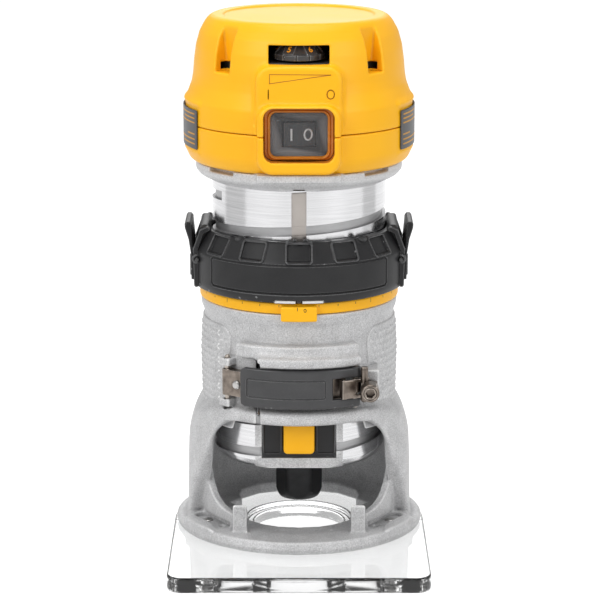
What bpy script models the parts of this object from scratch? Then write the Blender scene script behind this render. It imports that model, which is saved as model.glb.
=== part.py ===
"""Trim router: fixed base with a clear D-shaped sub-base, and a motor unit that a threaded ring raises.

Units are metres, +Z is up. The origin is the centre of the footprint, on the work. The spindle stands
AXIS_Y behind it, and every shape below is written around the spindle's axis, with -Y to the front.
"""

import math

import bmesh
import bpy
from mathutils import Matrix, Vector

# Driving dimensions
HEIGHT = 0.2130
SUB_BASE_WIDTH = 0.1016
SUB_BASE_FRONT = 0.0760
BARREL_R = 0.0345
BORE_R = 0.0348
THREAD_LEAD = 0.0127
GAP = 0.0003

# Worked out from them
SUB_BASE_R = SUB_BASE_WIDTH / 2
AXIS_Y = (SUB_BASE_FRONT - SUB_BASE_R) / 2

# Heights
SUB_BASE_TOP = 0.0060
FLANGE_TOP = 0.0117
WINDOW_TOP = 0.0560
COLLAR_TOP = 0.1006
NECK_TOP = 0.1110
DEPTH_RING_BOTTOM = 0.1057
TAB_PIN_Z = 0.1176
MOTOR_FLANGE_TOP = 0.1557
SEAM_Z = 0.1715
NOSE_BOTTOM = 0.0360
LOCK_Z = 0.0480
BRUSH_Z = 0.1285
CLAMP_Z = 0.0714
SWITCH_Z = 0.1718
ROCKER_Y = -0.0372
CORD_Z = 0.1900
DIAL_Y = -0.0292

# Clamp pivots, and the drilled lug and groove positions
FULCRUM = (0.0219, -0.0366)
TRUNNION = (0.0255, -0.0387)
SCREW_X = 0.0276
ANCHOR_ANGLE = -43.5
ANCHOR_R = 0.0408
GROOVE_FRONT_Z = 0.1327
GROOVE_HEIGHT = 0.0036
GROOVE_FLOOR_R = 0.0332
SUB_BASE_SCREWS = [(x, y) for y in (-0.0183, 0.0183) for x in (-0.0367, 0.0367)]

LARGE, MEDIUM, SMALL, TINY = 36, 24, 16, 10


def clear_scene():
    for obj in list(bpy.data.objects):
        bpy.data.objects.remove(obj, do_unlink=True)


def new_collection(name):
    collection = bpy.data.collections.new(name)
    bpy.context.scene.collection.children.link(collection)
    return collection


clear_scene()
PARTS = new_collection("trim_router")
CUTTERS = new_collection("cutters")
AXIS = bpy.data.objects.new("spindle_axis", None)
AXIS.location = (0, AXIS_Y, 0)
PARTS.objects.link(AXIS)


def material(name, colour, roughness, metallic=0.0):
    mat = bpy.data.materials.new(name)
    mat.use_nodes = True
    shader = mat.node_tree.nodes["Principled BSDF"]
    shader.inputs["Base Color"].default_value = (*colour, 1.0)
    shader.inputs["Roughness"].default_value = roughness
    shader.inputs["Metallic"].default_value = metallic
    return mat


YELLOW = material("yellow_plastic", (0.90, 0.46, 0.02), 0.45)
BLACK = material("black_plastic", (0.03, 0.03, 0.032), 0.55)
GREY = material("dark_grey_steel", (0.10, 0.10, 0.105), 0.45, 0.3)
CAST = material("cast_aluminium", (0.62, 0.62, 0.62), 0.55, 0.6)
MACHINED = material("machined_aluminium", (0.78, 0.78, 0.79), 0.28, 0.9)
STEEL = material("steel", (0.50, 0.49, 0.47), 0.32, 1.0)
NICKEL = material("nickel_plate", (0.38, 0.34, 0.30), 0.35, 1.0)
CLEAR = material("clear_polycarbonate", (0.90, 0.93, 0.94), 0.05)
COPPER = material("copper", (0.72, 0.33, 0.18), 0.35, 1.0)
CARBON = material("carbon", (0.05, 0.05, 0.05), 0.7)
LABEL = material("rating_label", (0.09, 0.09, 0.10), 0.5)


def place(obj, mat, at=(0, 0, 0), turn=(0, 0, 0)):
    """Puts a visible piece in the parts collection, at a place relative to the spindle's axis."""
    PARTS.objects.link(obj)
    obj.parent = AXIS
    obj.location = at
    obj.rotation_euler = turn
    obj.data.materials.clear()
    obj.data.materials.append(mat)
    return obj


def helper(obj, at=(0, 0, 0), turn=(0, 0, 0)):
    """Puts a shape that only cuts or is joined on in the cutters collection."""
    CUTTERS.objects.link(obj)
    obj.parent = AXIS
    obj.location = at
    obj.rotation_euler = turn
    obj.hide_render = True
    obj.display_type = "WIRE"
    return obj


def boolean(obj, tool, operation):
    modifier = obj.modifiers.new(tool.name, "BOOLEAN")
    modifier.operation = operation
    modifier.object = tool


def cut(obj, *tools):
    for tool in tools:
        boolean(obj, tool, "DIFFERENCE")


def join(obj, *tools):
    for tool in tools:
        boolean(obj, tool, "UNION")


def mesh_object(name, bm):
    mesh = bpy.data.meshes.new(name)
    bm.to_mesh(mesh)
    bm.free()
    return bpy.data.objects.new(name, mesh)


def turned(name, profile, steps=MEDIUM):
    """A turned shape. The profile runs down the outer side; one that doesn't end on the axis is closed."""
    mesh = bpy.data.meshes.new(name)
    edges = [(i, i + 1) for i in range(len(profile) - 1)]
    if profile[0][0] > 0 or profile[-1][0] > 0:
        edges.append((len(profile) - 1, 0))
    mesh.from_pydata([(r, 0, z) for r, z in profile], edges, [])
    obj = bpy.data.objects.new(name, mesh)
    screw = obj.modifiers.new("turn", "SCREW")
    screw.steps = screw.render_steps = steps
    screw.use_merge_vertices = True
    screw.merge_threshold = 0.00001
    weld = obj.modifiers.new("poles", "WELD")
    weld.merge_threshold = 0.00001
    return obj


def box(name, low, high):
    """A box between two corners, with its scale in its mesh."""
    low, high = Vector(low), Vector(high)
    bm = bmesh.new()
    bmesh.ops.create_cube(bm, size=1)
    bmesh.ops.scale(bm, vec=high - low, verts=bm.verts)
    bmesh.ops.translate(bm, vec=(low + high) / 2, verts=bm.verts)
    return mesh_object(name, bm)


def rod(name, radius, low, high, axis="Z", steps=TINY, top_radius=None):
    """A round bar, or a cone where top_radius is given, from low to high along an axis."""
    bm = bmesh.new()
    tip = radius if top_radius is None else top_radius
    bmesh.ops.create_cone(
        bm, cap_ends=True, segments=steps, radius1=radius, radius2=tip, depth=high - low
    )
    bmesh.ops.translate(bm, vec=(0, 0, (low + high) / 2), verts=bm.verts)
    if axis == "Y":
        bmesh.ops.rotate(bm, matrix=Matrix.Rotation(-math.pi / 2, 3, "X"), verts=bm.verts)
    if axis == "X":
        bmesh.ops.rotate(bm, matrix=Matrix.Rotation(math.pi / 2, 3, "Y"), verts=bm.verts)
    return mesh_object(name, bm)


def arc(centre, radius, start, end, count):
    """Points on an arc, with angles in degrees from +X."""
    angles = [math.radians(start + (end - start) * i / count) for i in range(count + 1)]
    return [(centre[0] + radius * math.cos(a), centre[1] + radius * math.sin(a)) for a in angles]


def front_point(angle, radius):
    """A point at an angle in degrees from the front, positive to the right."""
    a = math.radians(angle)
    return (radius * math.sin(a), -radius * math.cos(a))


def sector(inner, outer, left, right, count=8):
    """The outline of a ring sector between two angles counted from the front."""
    outside = arc((0, 0), outer, left - 90, right - 90, count)
    return outside + arc((0, 0), inner, right - 90, left - 90, count)


def plate(name, outlines, low, high):
    """A flat outline, with holes where there are more outlines, extruded from low to high."""
    curve = bpy.data.curves.new(name, "CURVE")
    curve.dimensions = "2D"
    curve.fill_mode = "BOTH"
    curve.extrude = (high - low) / 2
    for outline in outlines:
        spline = curve.splines.new("POLY")
        spline.points.add(len(outline) - 1)
        for point, (x, y) in zip(spline.points, outline):
            point.co = (x, y, 0, 1)
        spline.use_cyclic_u = True
    return meshed(name, curve, Matrix.Translation((0, 0, (low + high) / 2)))


def meshed(name, curve, shift=Matrix()):
    """A curve made into a welded mesh object, moved by a matrix."""
    source = bpy.data.objects.new(name, curve)
    bpy.context.scene.collection.objects.link(source)
    graph = bpy.context.evaluated_depsgraph_get()
    bm = bmesh.new()
    bm.from_mesh(bpy.data.meshes.new_from_object(source.evaluated_get(graph)))
    bpy.data.objects.remove(source)
    bmesh.ops.remove_doubles(bm, verts=bm.verts, dist=0.00001)
    bmesh.ops.recalc_face_normals(bm, faces=bm.faces)
    bmesh.ops.transform(bm, matrix=shift, verts=bm.verts)
    return mesh_object(name, bm)


def wire(name, points, thickness, resolution=0):
    """A round wire along points, with filled ends."""
    curve = bpy.data.curves.new(name, "CURVE")
    curve.dimensions = "3D"
    curve.bevel_depth = thickness / 2
    curve.bevel_resolution = resolution
    curve.use_fill_caps = True
    spline = curve.splines.new("POLY")
    spline.points.add(len(points) - 1)
    for point, co in zip(spline.points, points):
        point.co = (*co, 1)
    return meshed(name, curve)


def bevelled(obj, width, segments=1):
    modifier = obj.modifiers.new("round", "BEVEL")
    modifier.width = width
    modifier.segments = segments
    modifier.limit_method = "ANGLE"
    return obj


# ---------------------------------------------------------------- base


def sub_base():
    half = SUB_BASE_R
    corner = 0.006
    outline = arc((0, 0), half, 0, 180, 24)
    outline += arc((-half + corner, -SUB_BASE_FRONT + corner), corner, 180, 270, 4)
    outline += arc((half - corner, -SUB_BASE_FRONT + corner), corner, 270, 360, 4)
    hole = arc((0, 0), 0.0185, 0, 352.5, 47)[::-1]
    plate_obj = place(plate("sub_base", [outline, hole], 0, SUB_BASE_TOP), CLEAR)
    seat = rod("bit_hole_step", 0.0212, SUB_BASE_TOP - 0.0018, SUB_BASE_TOP + 0.002, steps=LARGE)
    cut(plate_obj, helper(seat))
    for i, (x, y) in enumerate(SUB_BASE_SCREWS):
        head = rod(f"screw_seat_{i}", 0.0046, -0.001, 0.0035)
        shank = rod(f"screw_hole_{i}", 0.0024, -0.001, 0.010)
        cut(plate_obj, helper(head, (x, y, 0)), helper(shank, (x, y, 0)))


def sub_base_screws():
    profile = [(0, 0.0110), (0.0020, 0.0110), (0.0020, 0.0032), (0.0042, 0.0032)]
    profile += [(0.0042, 0.0014), (0.0032, 0.0006), (0, 0.0006)]
    for i, (x, y) in enumerate(SUB_BASE_SCREWS, 1):
        place(turned(f"sub_base_screw_{i}", profile, TINY), STEEL, (x, y, 0))


def casting_body():
    """The turned wall: floor, legs and collar in one, before the window is cut."""
    wall = [(0, 0.0114), (0.0386, 0.0114), (0.0390, 0.0240), (0.0386, 0.0400), (0.0366, 0.0505)]
    rough = BORE_R - GAP
    wall += [(rough, 0.0560), (rough, NECK_TOP), (0.0364, NECK_TOP), (0.0364, COLLAR_TOP)]
    wall += [(0.0393, COLLAR_TOP), (0.0391, 0.0970), (0.0380, 0.0945), (0.0379, 0.0900)]
    wall += [(0.0384, 0.0790), (0.0378, 0.0560), (0.0392, 0.0510), (0.0420, 0.0465)]
    wall += [(0.0437, 0.0410), (0.0443, 0.0340), (0.0446, 0.0215), (0.0456, 0.0160)]
    wall += [(0.0475, 0.0130), (0.0498, FLANGE_TOP), (0.0498, SUB_BASE_TOP + GAP)]
    wall += [(0, SUB_BASE_TOP + GAP)]
    return turned("base_casting", wall, 48)


def window_cutter():
    """The arched front window, between the legs."""
    half, corner = 0.0340, 0.0120
    top = WINDOW_TOP - corner
    outline = [(half, FLANGE_TOP)] + arc((half - corner, top), corner, 0, 90, 5)
    outline += arc((-half + corner, top), corner, 90, 180, 5) + [(-half, FLANGE_TOP)]
    arch = plate("window", [outline], 0.004, 0.060)
    return helper(arch, turn=(math.pi / 2, 0, 0))


def floor_cutter():
    """The bit opening in the flange: a rounded square with a pointed notch at each side."""
    outline = arc((0, 0.001), 0.0265, 235, 305, 6)
    outline += [(0.0200, -0.0040), (0.0275, 0.0045), (0.0225, 0.0100)]
    outline += arc((0, 0.0015), 0.0290, 45, 135, 8)
    outline += [(-0.0225, 0.0100), (-0.0275, 0.0045), (-0.0200, -0.0040)]
    return helper(plate("bit_opening", [outline], 0.002, 0.016))


def clamp_lugs(casting):
    """The raised band over the lever, the lip under it, and the drilled lugs of the clamp."""
    lip = helper(plate("lever_lip", [sector(0.0360, 0.0456, -21, 32.5)], 0.0803, 0.0846))
    band = helper(plate("lever_boss", [sector(0.0360, 0.0424, -36, 34)], 0.0835, 0.0880))
    sill = helper(plate("lever_sill", [sector(0.0360, 0.0418, -40, 40, 10)], WINDOW_TOP, 0.0615))
    low = helper(plate("anchor_lug_low", [sector(0.0365, 0.0430, -47, -40, 3)], 0.0617, 0.0648))
    high = helper(plate("anchor_lug_high", [sector(0.0365, 0.0430, -47, -40, 3)], 0.0782, 0.0813))
    ear = helper(box("screw_ear", (0.0243, -0.0352, 0.0655), (0.0314, -0.0240, 0.0775)))
    join(casting, lip, band, sill, low, high, ear)
    screw = rod("ear_hole", 0.0019, -0.038, -0.028, "Y")
    cut(casting, helper(screw, (SCREW_X, 0, CLAMP_Z)))
    anchor = rod("anchor_hole", 0.0016, 0.0590, 0.0830)
    cut(casting, helper(anchor, (*front_point(ANCHOR_ANGLE, ANCHOR_R), 0)))


def base_casting():
    casting = place(casting_body(), CAST)
    cut(casting, window_cutter(), floor_cutter())
    clamp_lugs(casting)
    cut(casting, helper(rod("collar_bore", BORE_R, 0.0545, 0.1200, steps=48)))
    key = box("motor_key", (-0.0025, -0.0362, 0.0880), (0.0025, -0.0341, 0.0990))
    join(casting, helper(key))
    split = box("clamp_split", (-0.0167, -0.0600, 0.0500), (-0.0152, -0.0250, 0.0820))
    cut(casting, helper(split))
    for side in (-1, 1):
        name = "left" if side < 0 else "right"
        low, high = sorted((side * 0.0207, side * 0.0262))
        pad = box(f"guide_boss_{name}", (low, -0.0362, 0.0100), (high, -0.0310, 0.0215))
        join(casting, helper(pad))
    for i, (x, y) in enumerate(SUB_BASE_SCREWS):
        cut(casting, helper(rod(f"casting_hole_{i}", 0.0024, 0, 0.030), (x, y, 0)))


# ---------------------------------------------------------------- clamp


def clamp_band():
    """The steel strap behind the lever, folded at its left end and looped round both pins."""
    band = place(plate("clamp_band", [sector(0.0392, 0.0401, -42, 27, 14)], 0.0662, 0.0770), NICKEL)
    fold = helper(plate("band_fold", [sector(0.0400, 0.0422, -41.6, -33, 3)], 0.0664, 0.0768))
    anchor_at = (*front_point(ANCHOR_ANGLE, ANCHOR_R), 0)
    anchor = helper(rod("band_loop", 0.0021, 0.0664, 0.0768), anchor_at)
    knuckle = helper(rod("fulcrum_loop", 0.0021, 0.0692, 0.0736), (*FULCRUM, 0))
    arm = helper(plate("fulcrum_arm", [sector(0.0395, 0.0423, 25.5, 30.5, 2)], 0.0694, 0.0734))
    join(band, fold, anchor, knuckle, arm)
    cut(band, helper(rod("band_anchor_hole", 0.0014, 0.0600, 0.0830), anchor_at))
    cut(band, helper(rod("band_fulcrum_hole", 0.0014, 0.0600, 0.0830), (*FULCRUM, 0)))


def clamp_pins():
    anchor = rod("band_anchor_pin", 0.0011, 0.0610, 0.0824)
    place(anchor, STEEL, (*front_point(ANCHOR_ANGLE, ANCHOR_R), 0))
    rivet = rod("band_rivet", 0.0017, 0.0425, 0.0433, "Y", top_radius=0.0012)
    turn = math.radians(180 - 35.2)
    place(rivet, NICKEL, (0, 0, CLAMP_Z), (0, 0, turn))
    place(rod("fulcrum_pin", 0.0011, 0.0629, 0.0799), STEEL, (*FULCRUM, 0))


def clamp_lever():
    """The curved lever. Its right end is a fork round the link, on the fulcrum pin."""
    lever = plate("clamp_lever", [sector(0.0421, 0.0444, -31.5, 32.6, 14)], 0.0637, 0.0795)
    place(lever, GREY)
    slot = helper(box("lever_slot", (0.0132, -0.0500, 0.0672), (0.0300, -0.0300, 0.0756)))
    hub_low = helper(rod("lever_hub_low", 0.0021, 0.0637, 0.0670), (*FULCRUM, 0))
    hub_high = helper(rod("lever_hub_high", 0.0021, 0.0758, 0.0795), (*FULCRUM, 0))
    cut(lever, slot)
    join(lever, hub_low, hub_high)
    cut(lever, helper(rod("lever_pin_hole", 0.0014, 0.0600, 0.0830), (*FULCRUM, 0)))
    origin_at(lever, (*FULCRUM, CLAMP_Z))


def toggle_link():
    """The hook that pulls on the lever's slot, with an eye over and an eye under the trunnion."""
    link = plate("toggle_link", [sector(0.0454, 0.0464, 21.6, 28.6, 3)], 0.0676, 0.0752)
    place(link, NICKEL)
    hook = helper(plate("link_hook", [sector(0.0428, 0.0458, 21.6, 23.4, 1)], 0.0678, 0.0750))
    join(link, hook)
    for name, low, high in (("low", 0.0676, 0.0688), ("high", 0.0740, 0.0752)):
        arm = sector(0.0453, 0.0464, 27.5, 33.5, 3)
        eye = rod(f"link_eye_{name}", 0.0024, low, high)
        join(link, helper(plate(f"link_arm_{name}", [arm], low, high)))
        join(link, helper(eye, (*TRUNNION, 0)))
    cut(link, helper(rod("link_eye_hole", 0.0017, 0.0600, 0.0830), (*TRUNNION, 0)))
    origin_at(link, (*TRUNNION, CLAMP_Z))


def tension_parts():
    trunnion = place(rod("trunnion_pin", 0.0014, 0.0664, 0.0798), STEEL, (*TRUNNION, 0))
    low = (-0.0012, -0.0021, CLAMP_Z - 0.0021)
    high = (SCREW_X - TRUNNION[0] + 0.0029, 0.0024, CLAMP_Z + 0.0021)
    join(trunnion, helper(box("trunnion_block", low, high), (*TRUNNION, 0)))
    hole = rod("trunnion_hole", 0.0018, -0.048, -0.032, "Y")
    cut(trunnion, helper(hole, (SCREW_X, 0, CLAMP_Z)))
    profile = [(0, 0.0462), (0.0019, 0.0462), (0.0019, 0.0482), (0.0034, 0.0482)]
    profile += [(0.0036, 0.0478), (0.0036, 0.0413), (0.0015, 0.0413), (0.0015, 0.0290), (0, 0.0290)]
    screw = turned("tension_screw", profile, TINY)
    place(screw, NICKEL, (SCREW_X, 0, CLAMP_Z), (math.pi / 2, 0, 0))


def origin_at(obj, point):
    """Moves the origin of a mesh object to a point, and leaves the shape where it is."""
    obj.data.transform(Matrix.Translation(-Vector(point)))
    obj.location = point


# ---------------------------------------------------------------- rings and release tabs


def scale_ring():
    profile = [(0.0397, 0.1052), (0.0396, 0.1012), (0.0394, 0.1009)]
    profile += [(0.0367, 0.1009), (0.0367, 0.1052)]
    ring = place(turned("scale_ring", profile, LARGE), YELLOW)
    tab = plate("scale_tab", [sector(0.0396, 0.0424, -10, 10, 3)], 0.0984, 0.1052)
    bridge = plate("scale_tab_bridge", [sector(0.0385, 0.0405, -10, 10, 3)], 0.1009, 0.1052)
    join(ring, helper(bridge), helper(tab))


def depth_ring():
    """The black ring: a neck bearing, a sleeve round the barrel, and a lug at each side in the groove."""
    profile = [(0.0364, 0.1289), (0.0380, 0.1285), (0.0414, 0.1222), (0.0424, 0.1206)]
    profile += [(0.0426, 0.1200), (0.0426, 0.1090), (0.0420, DEPTH_RING_BOTTOM)]
    profile += [(0.0367, DEPTH_RING_BOTTOM), (0.0367, NECK_TOP + GAP), (0.0350, NECK_TOP + GAP)]
    profile += [(0.0350, 0.1289)]
    ring = place(turned("depth_ring", profile, LARGE), BLACK)
    for side, name in ((-1, "left"), (1, "right")):
        low, high = sorted((side * 0.0352, side * 0.0394))
        hump = box(f"tab_hump_{name}", (low, -0.0130, 0.1240), (high, 0.0130, 0.1308))
        low, high = sorted((side * 0.0380, side * 0.0520))
        pocket = box(f"tab_pocket_{name}", (low, -0.0125, 0.1075), (high, 0.0125, 0.1400))
        join(ring, helper(hump))
        cut(ring, helper(pocket))
        pin = rod(f"tab_pin_hole_{name}", 0.0015, -0.030, 0.030, "Y")
        cut(ring, helper(pin, (side * 0.0402, 0, TAB_PIN_Z)))
    cut(ring, helper(rod("ring_bore", 0.0352, 0.1150, 0.1350, steps=LARGE)))
    for side, name, turns in ((-1, "left", -1.25), (1, "right", -0.75)):
        z = GROOVE_FRONT_Z + THREAD_LEAD * turns
        low, high = sorted((side * 0.0337, side * 0.0362))
        lug = box(f"thread_lug_{name}", (low, -0.0028, z - 0.0012), (high, 0.0028, z + 0.0012))
        join(ring, helper(lug))


def release_tabs():
    """The two quick-release tabs, each on a pin, with a leaf spring behind."""
    for side, name in ((-1, "left"), (1, "right")):
        pin_x = side * 0.0402
        face = [(0.0417, 0.1084), (0.0426, 0.1084), (0.0428, 0.1190), (0.0438, 0.1255)]
        face += [(0.0452, 0.1302), (0.0446, 0.1314), (0.0436, 0.1310), (0.0424, 0.1262)]
        face += [(0.0417, 0.1205)]
        outline = [(side * x, z) for x, z in face]
        tab = plate(f"release_tab_{name}", [outline], -0.0115, 0.0115)
        tab.data.transform(Matrix.Rotation(math.pi / 2, 4, "X"))
        place(tab, BLACK)
        hub = rod(f"tab_hub_{name}", 0.0018, -0.0113, 0.0113, "Y")
        link = box(
            f"tab_web_{name}",
            (min(pin_x, side * 0.0422), -0.0111, TAB_PIN_Z - 0.0012),
            (max(pin_x, side * 0.0422), 0.0111, TAB_PIN_Z + 0.0012),
        )
        join(tab, helper(hub, (pin_x, 0, TAB_PIN_Z)), helper(link))
        hole = rod(f"tab_hub_hole_{name}", 0.0011, -0.020, 0.020, "Y")
        cut(tab, helper(hole, (pin_x, 0, TAB_PIN_Z)))
        origin_at(tab, (pin_x, 0, TAB_PIN_Z))
        pin = rod(f"tab_pin_{name}", 0.0008, -0.0172, 0.0172, "Y")
        place(pin, STEEL, (pin_x, 0, TAB_PIN_Z))
        low, high = sorted((side * 0.0383, side * 0.0387))
        leaf = box(f"tab_spring_{name}", (low, -0.0040, 0.1210), (high, 0.0040, 0.1290))
        place(leaf, STEEL)


# ---------------------------------------------------------------- motor housing


def groove_cutter():
    """A square bar wound round the barrel as a right-hand helix, one lead a turn."""
    per_turn = 24
    first, last = -7.10, 0.83
    count = round((last - first) * per_turn)
    section = GROOVE_HEIGHT / 2
    radius = GROOVE_FLOOR_R + section
    curve = bpy.data.curves.new("groove", "CURVE")
    curve.dimensions = "3D"
    curve.twist_mode = "Z_UP"
    profile = bpy.data.curves.new("groove_section", "CURVE")
    profile.dimensions = "2D"
    square = profile.splines.new("POLY")
    square.points.add(3)
    for point, (x, y) in zip(square.points, ((-1, -1), (1, -1), (1, 1), (-1, 1))):
        point.co = (x * section, y * section, 0, 1)
    square.use_cyclic_u = True
    section_obj = helper(bpy.data.objects.new("groove_section", profile))
    curve.bevel_mode = "OBJECT"
    curve.bevel_object = section_obj
    curve.use_fill_caps = True
    spline = curve.splines.new("POLY")
    spline.points.add(count)
    for i, point in enumerate(spline.points):
        turn = first + (last - first) * i / count
        x, y = front_point(turn * 360, radius)
        point.co = (x, y, GROOVE_FRONT_Z + THREAD_LEAD * turn, 1)
    return helper(meshed("thread_groove", curve))


def motor_housing():
    profile = [(0.0409, MOTOR_FLANGE_TOP), (0.0409, 0.1526), (0.0392, 0.1503), (0.0358, 0.1487)]
    profile += [(BARREL_R, 0.1482), (BARREL_R, 0.0395), (0.0335, 0.0370), (0.0322, NOSE_BOTTOM)]
    profile += [(0.0145, NOSE_BOTTOM), (0.0145, 0.0520), (0.0143, 0.0520), (0.0143, 0.0610)]
    profile += [(0.0315, 0.0620), (0.0315, 0.1480), (0.0360, 0.1510), (0.0375, MOTOR_FLANGE_TOP)]
    housing = place(turned("motor_housing", profile, LARGE), MACHINED)
    cut(housing, groove_cutter())
    flat = box("lock_flat", (-0.0250, -0.0500, 0.0300), (0.0250, -0.0299, 0.0575))
    pocket = box("lock_pocket", (-0.0148, -0.0350, 0.0400), (0.0148, -0.0200, 0.0570))
    keyway = box("keyway", (-0.0029, -0.0400, 0.0600), (0.0029, -0.0336, 0.1475))
    lock_hole = rod("lock_pin_hole", 0.0022, -0.030, -0.010, "Y")
    cut(housing, helper(flat), helper(pocket), helper(keyway))
    cut(housing, helper(lock_hole, (0, 0, LOCK_Z)))


def nose_parts():
    ring = [(0.0140, 0.0375), (0.0140, 0.0350), (0.0098, 0.0350), (0.0098, 0.0375)]
    place(turned("led_ring", ring, SMALL), BLACK)
    for side, name in ((-1, "left"), (1, "right")):
        lens = [(0, 0.0347), (0.0010, 0.0347), (0.0014, 0.0340), (0.0010, 0.0334), (0, 0.0332)]
        place(turned(f"led_lens_{name}", lens, TINY), CLEAR, (side * 0.0119, 0, 0))


def spindle_lock():
    """The black insert, the yellow button in it, its pin to the spindle and its spring washer."""
    insert = box("lock_housing", (-0.0145, -0.0296, 0.0403), (0.0145, -0.0203, 0.0567))
    place(insert, BLACK)
    well = box("button_well", (-0.0064, -0.0400, 0.0423), (0.0064, -0.0234, 0.0556))
    cut(insert, helper(well), helper(rod("insert_hole", 0.0023, -0.03, -0.015, "Y"), (0, 0, LOCK_Z)))
    button = box("spindle_lock_button", (-0.0061, -0.0337, 0.0426), (0.0061, -0.0287, 0.0553))
    place(bevelled(button, 0.0012, 2), YELLOW)
    origin_at(button, (0, -0.0337, 0.0490))
    place(rod("spindle_lock_pin", 0.0019, -0.0284, -0.0080, "Y"), STEEL, (0, 0, LOCK_Z))
    washer = [(0.0036, 0.0247), (0.0036, 0.0237), (0.0024, 0.0237), (0.0024, 0.0247)]
    place(turned("lock_spring", washer, TINY), STEEL, (0, 0, LOCK_Z), (math.pi / 2, 0, 0))


def bearing(name, outer, bore, low, high):
    """A shielded ball bearing, drawn as one ring."""
    profile = [(outer, high), (outer, low), (bore, low), (bore, high)]
    place(turned(name, profile, SMALL), STEEL)


def end_bracket():
    """The plastic bridge that closes the barrel and holds the upper bearing."""
    profile = [(0.0312, 0.1470), (0.0312, 0.1395), (0.0070, 0.1395), (0.0070, 0.1413)]
    profile += [(0.0113, 0.1413), (0.0113, 0.1495), (0.0140, 0.1495), (0.0140, 0.1470)]
    place(turned("end_bracket", profile, MEDIUM), BLACK)


def brush_box(name, inner, outer, half):
    """A square bar along X at the brushes' height."""
    return box(name, (inner, -half, BRUSH_Z - half), (outer, half, BRUSH_Z + half))


def brush_gear():
    """Each carbon brush in its guide, and the spring that pushes it on the commutator."""
    for side, name in ((-1, "left"), (1, "right")):
        turn = (0, 0, 0 if side > 0 else math.pi)
        guide = brush_box(f"brush_holder_{name}", 0.0130, 0.0308, 0.0045)
        place(guide, MACHINED, turn=turn)
        cut(guide, helper(brush_box(f"brush_guide_{name}", 0.0100, 0.0300, 0.0034), turn=turn))
        brush = brush_box(f"brush_{name}", 0.0123, 0.0225, 0.0031)
        place(brush, CARBON, turn=turn)
        coil = []
        for i in range(33):
            a = math.radians(i * 45)
            x = 0.0231 + 0.0063 * i / 32
            coil.append((x, 0.0022 * math.cos(a), BRUSH_Z + 0.0022 * math.sin(a)))
        place(wire(f"brush_spring_{name}", coil, 0.0005), STEEL, turn=turn)


def field():
    """The stator's lamination ring and the ends of its two coils."""
    ring = [(0.0312, 0.1170), (0.0312, 0.0770), (0.0185, 0.0770), (0.0185, 0.1170)]
    place(turned("stator", ring, MEDIUM), STEEL)
    for name, middle in (("left", -90), ("right", 90)):
        outline = sector(0.0195, 0.0295, middle - 52, middle + 52, 8)
        place(plate(f"field_coil_{name}", [outline], 0.1173, 0.1225), COPPER)


# ---------------------------------------------------------------- spindle


def armature():
    """The shaft with its collet nose, and what turns with it."""
    shaft = [(0, 0.1485), (0.0040, 0.1485), (0.0040, 0.0640), (0.0057, 0.0625), (0.0057, 0.0515)]
    shaft += [(0.0075, 0.0512), (0.0075, 0.0200), (0.0052, 0.0200), (0.0052, 0.0320), (0, 0.0320)]
    place(turned("armature_shaft", shaft, SMALL), STEEL)
    for axis in "XY":
        bore = rod(f"lock_bore_{axis}", 0.0023, -0.020, 0.020, axis)
        cut(bpy.data.objects["armature_shaft"], helper(bore, (0, 0, LOCK_Z)))
    core = [(0.0170, 0.1150), (0.0170, 0.0790), (0.0043, 0.0790), (0.0043, 0.1150)]
    place(turned("armature_core", core, SMALL), STEEL)
    copper = [(0.0115, 0.1350), (0.0115, 0.1215), (0.0130, 0.1195), (0.0130, 0.1170)]
    copper += [(0.0043, 0.1170), (0.0043, 0.1350)]
    place(turned("commutator", copper, SMALL), COPPER)


def cooling_fan():
    hub = [(0.0270, 0.0668), (0.0270, 0.0655), (0.0043, 0.0655), (0.0043, 0.0750), (0.0080, 0.0750)]
    hub += [(0.0090, 0.0668)]
    fan = place(turned("cooling_fan", hub, MEDIUM), BLACK)
    for i in range(8):
        blade = box(f"blade_{i}", (0.0080, -0.0005, 0.0660), (0.0265, 0.0005, 0.0745))
        join(fan, helper(blade, turn=(0, 0, math.radians(45 * i + 20))))


def collet_parts():
    sleeve = [(0.0049, 0.0300), (0.0049, 0.0178), (0.0044, 0.0160), (0.0032, 0.0160), (0.0032, 0.0300)]
    place(turned("collet", sleeve, SMALL), STEEL)
    nut = rod("collet_nut", 0.0170 / math.sqrt(3), 0.0156, 0.0335, steps=6)
    place(nut, BLACK)
    nut.data.transform(Matrix.Rotation(math.radians(30), 4, "Z"))
    crown = [(0, 0.0360), (0.0093, 0.0360), (0.0093, 0.0178), (0.0080, 0.0156), (0, 0.0156)]
    shape = helper(turned("nut_turning", crown, MEDIUM))
    boolean(nut, shape, "INTERSECT")
    bore = [(0, 0.0400), (0.0078, 0.0400), (0.0078, 0.0185), (0.0052, 0.0172)]
    bore += [(0.0052, 0.0100), (0, 0.0100)]
    cut(nut, helper(turned("nut_bore", bore, SMALL)))


# ---------------------------------------------------------------- yellow shells


def lower_housing():
    profile = [(0.0450, SEAM_Z - GAP), (0.0450, 0.1612), (0.0446, 0.1598), (0.0424, 0.1560)]
    profile += [(0.0360, 0.1560), (0.0360, 0.1580), (0.0400, 0.1585), (0.0425, 0.1620)]
    profile += [(0.0425, SEAM_Z - GAP)]
    shell = place(turned("lower_housing", profile, LARGE), YELLOW)
    bezel = box("lower_bezel", (-0.0156, -0.0470, 0.1568), (0.0156, -0.0380, SEAM_Z - GAP))
    join(shell, helper(bevelled(bezel, 0.0012)))
    cut(shell, helper(switch_recess("lower_switch_recess")))


def switch_recess(name):
    return box(name, (-0.0134, -0.0600, 0.1617), (0.0134, -0.0200, 0.1821))


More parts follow.
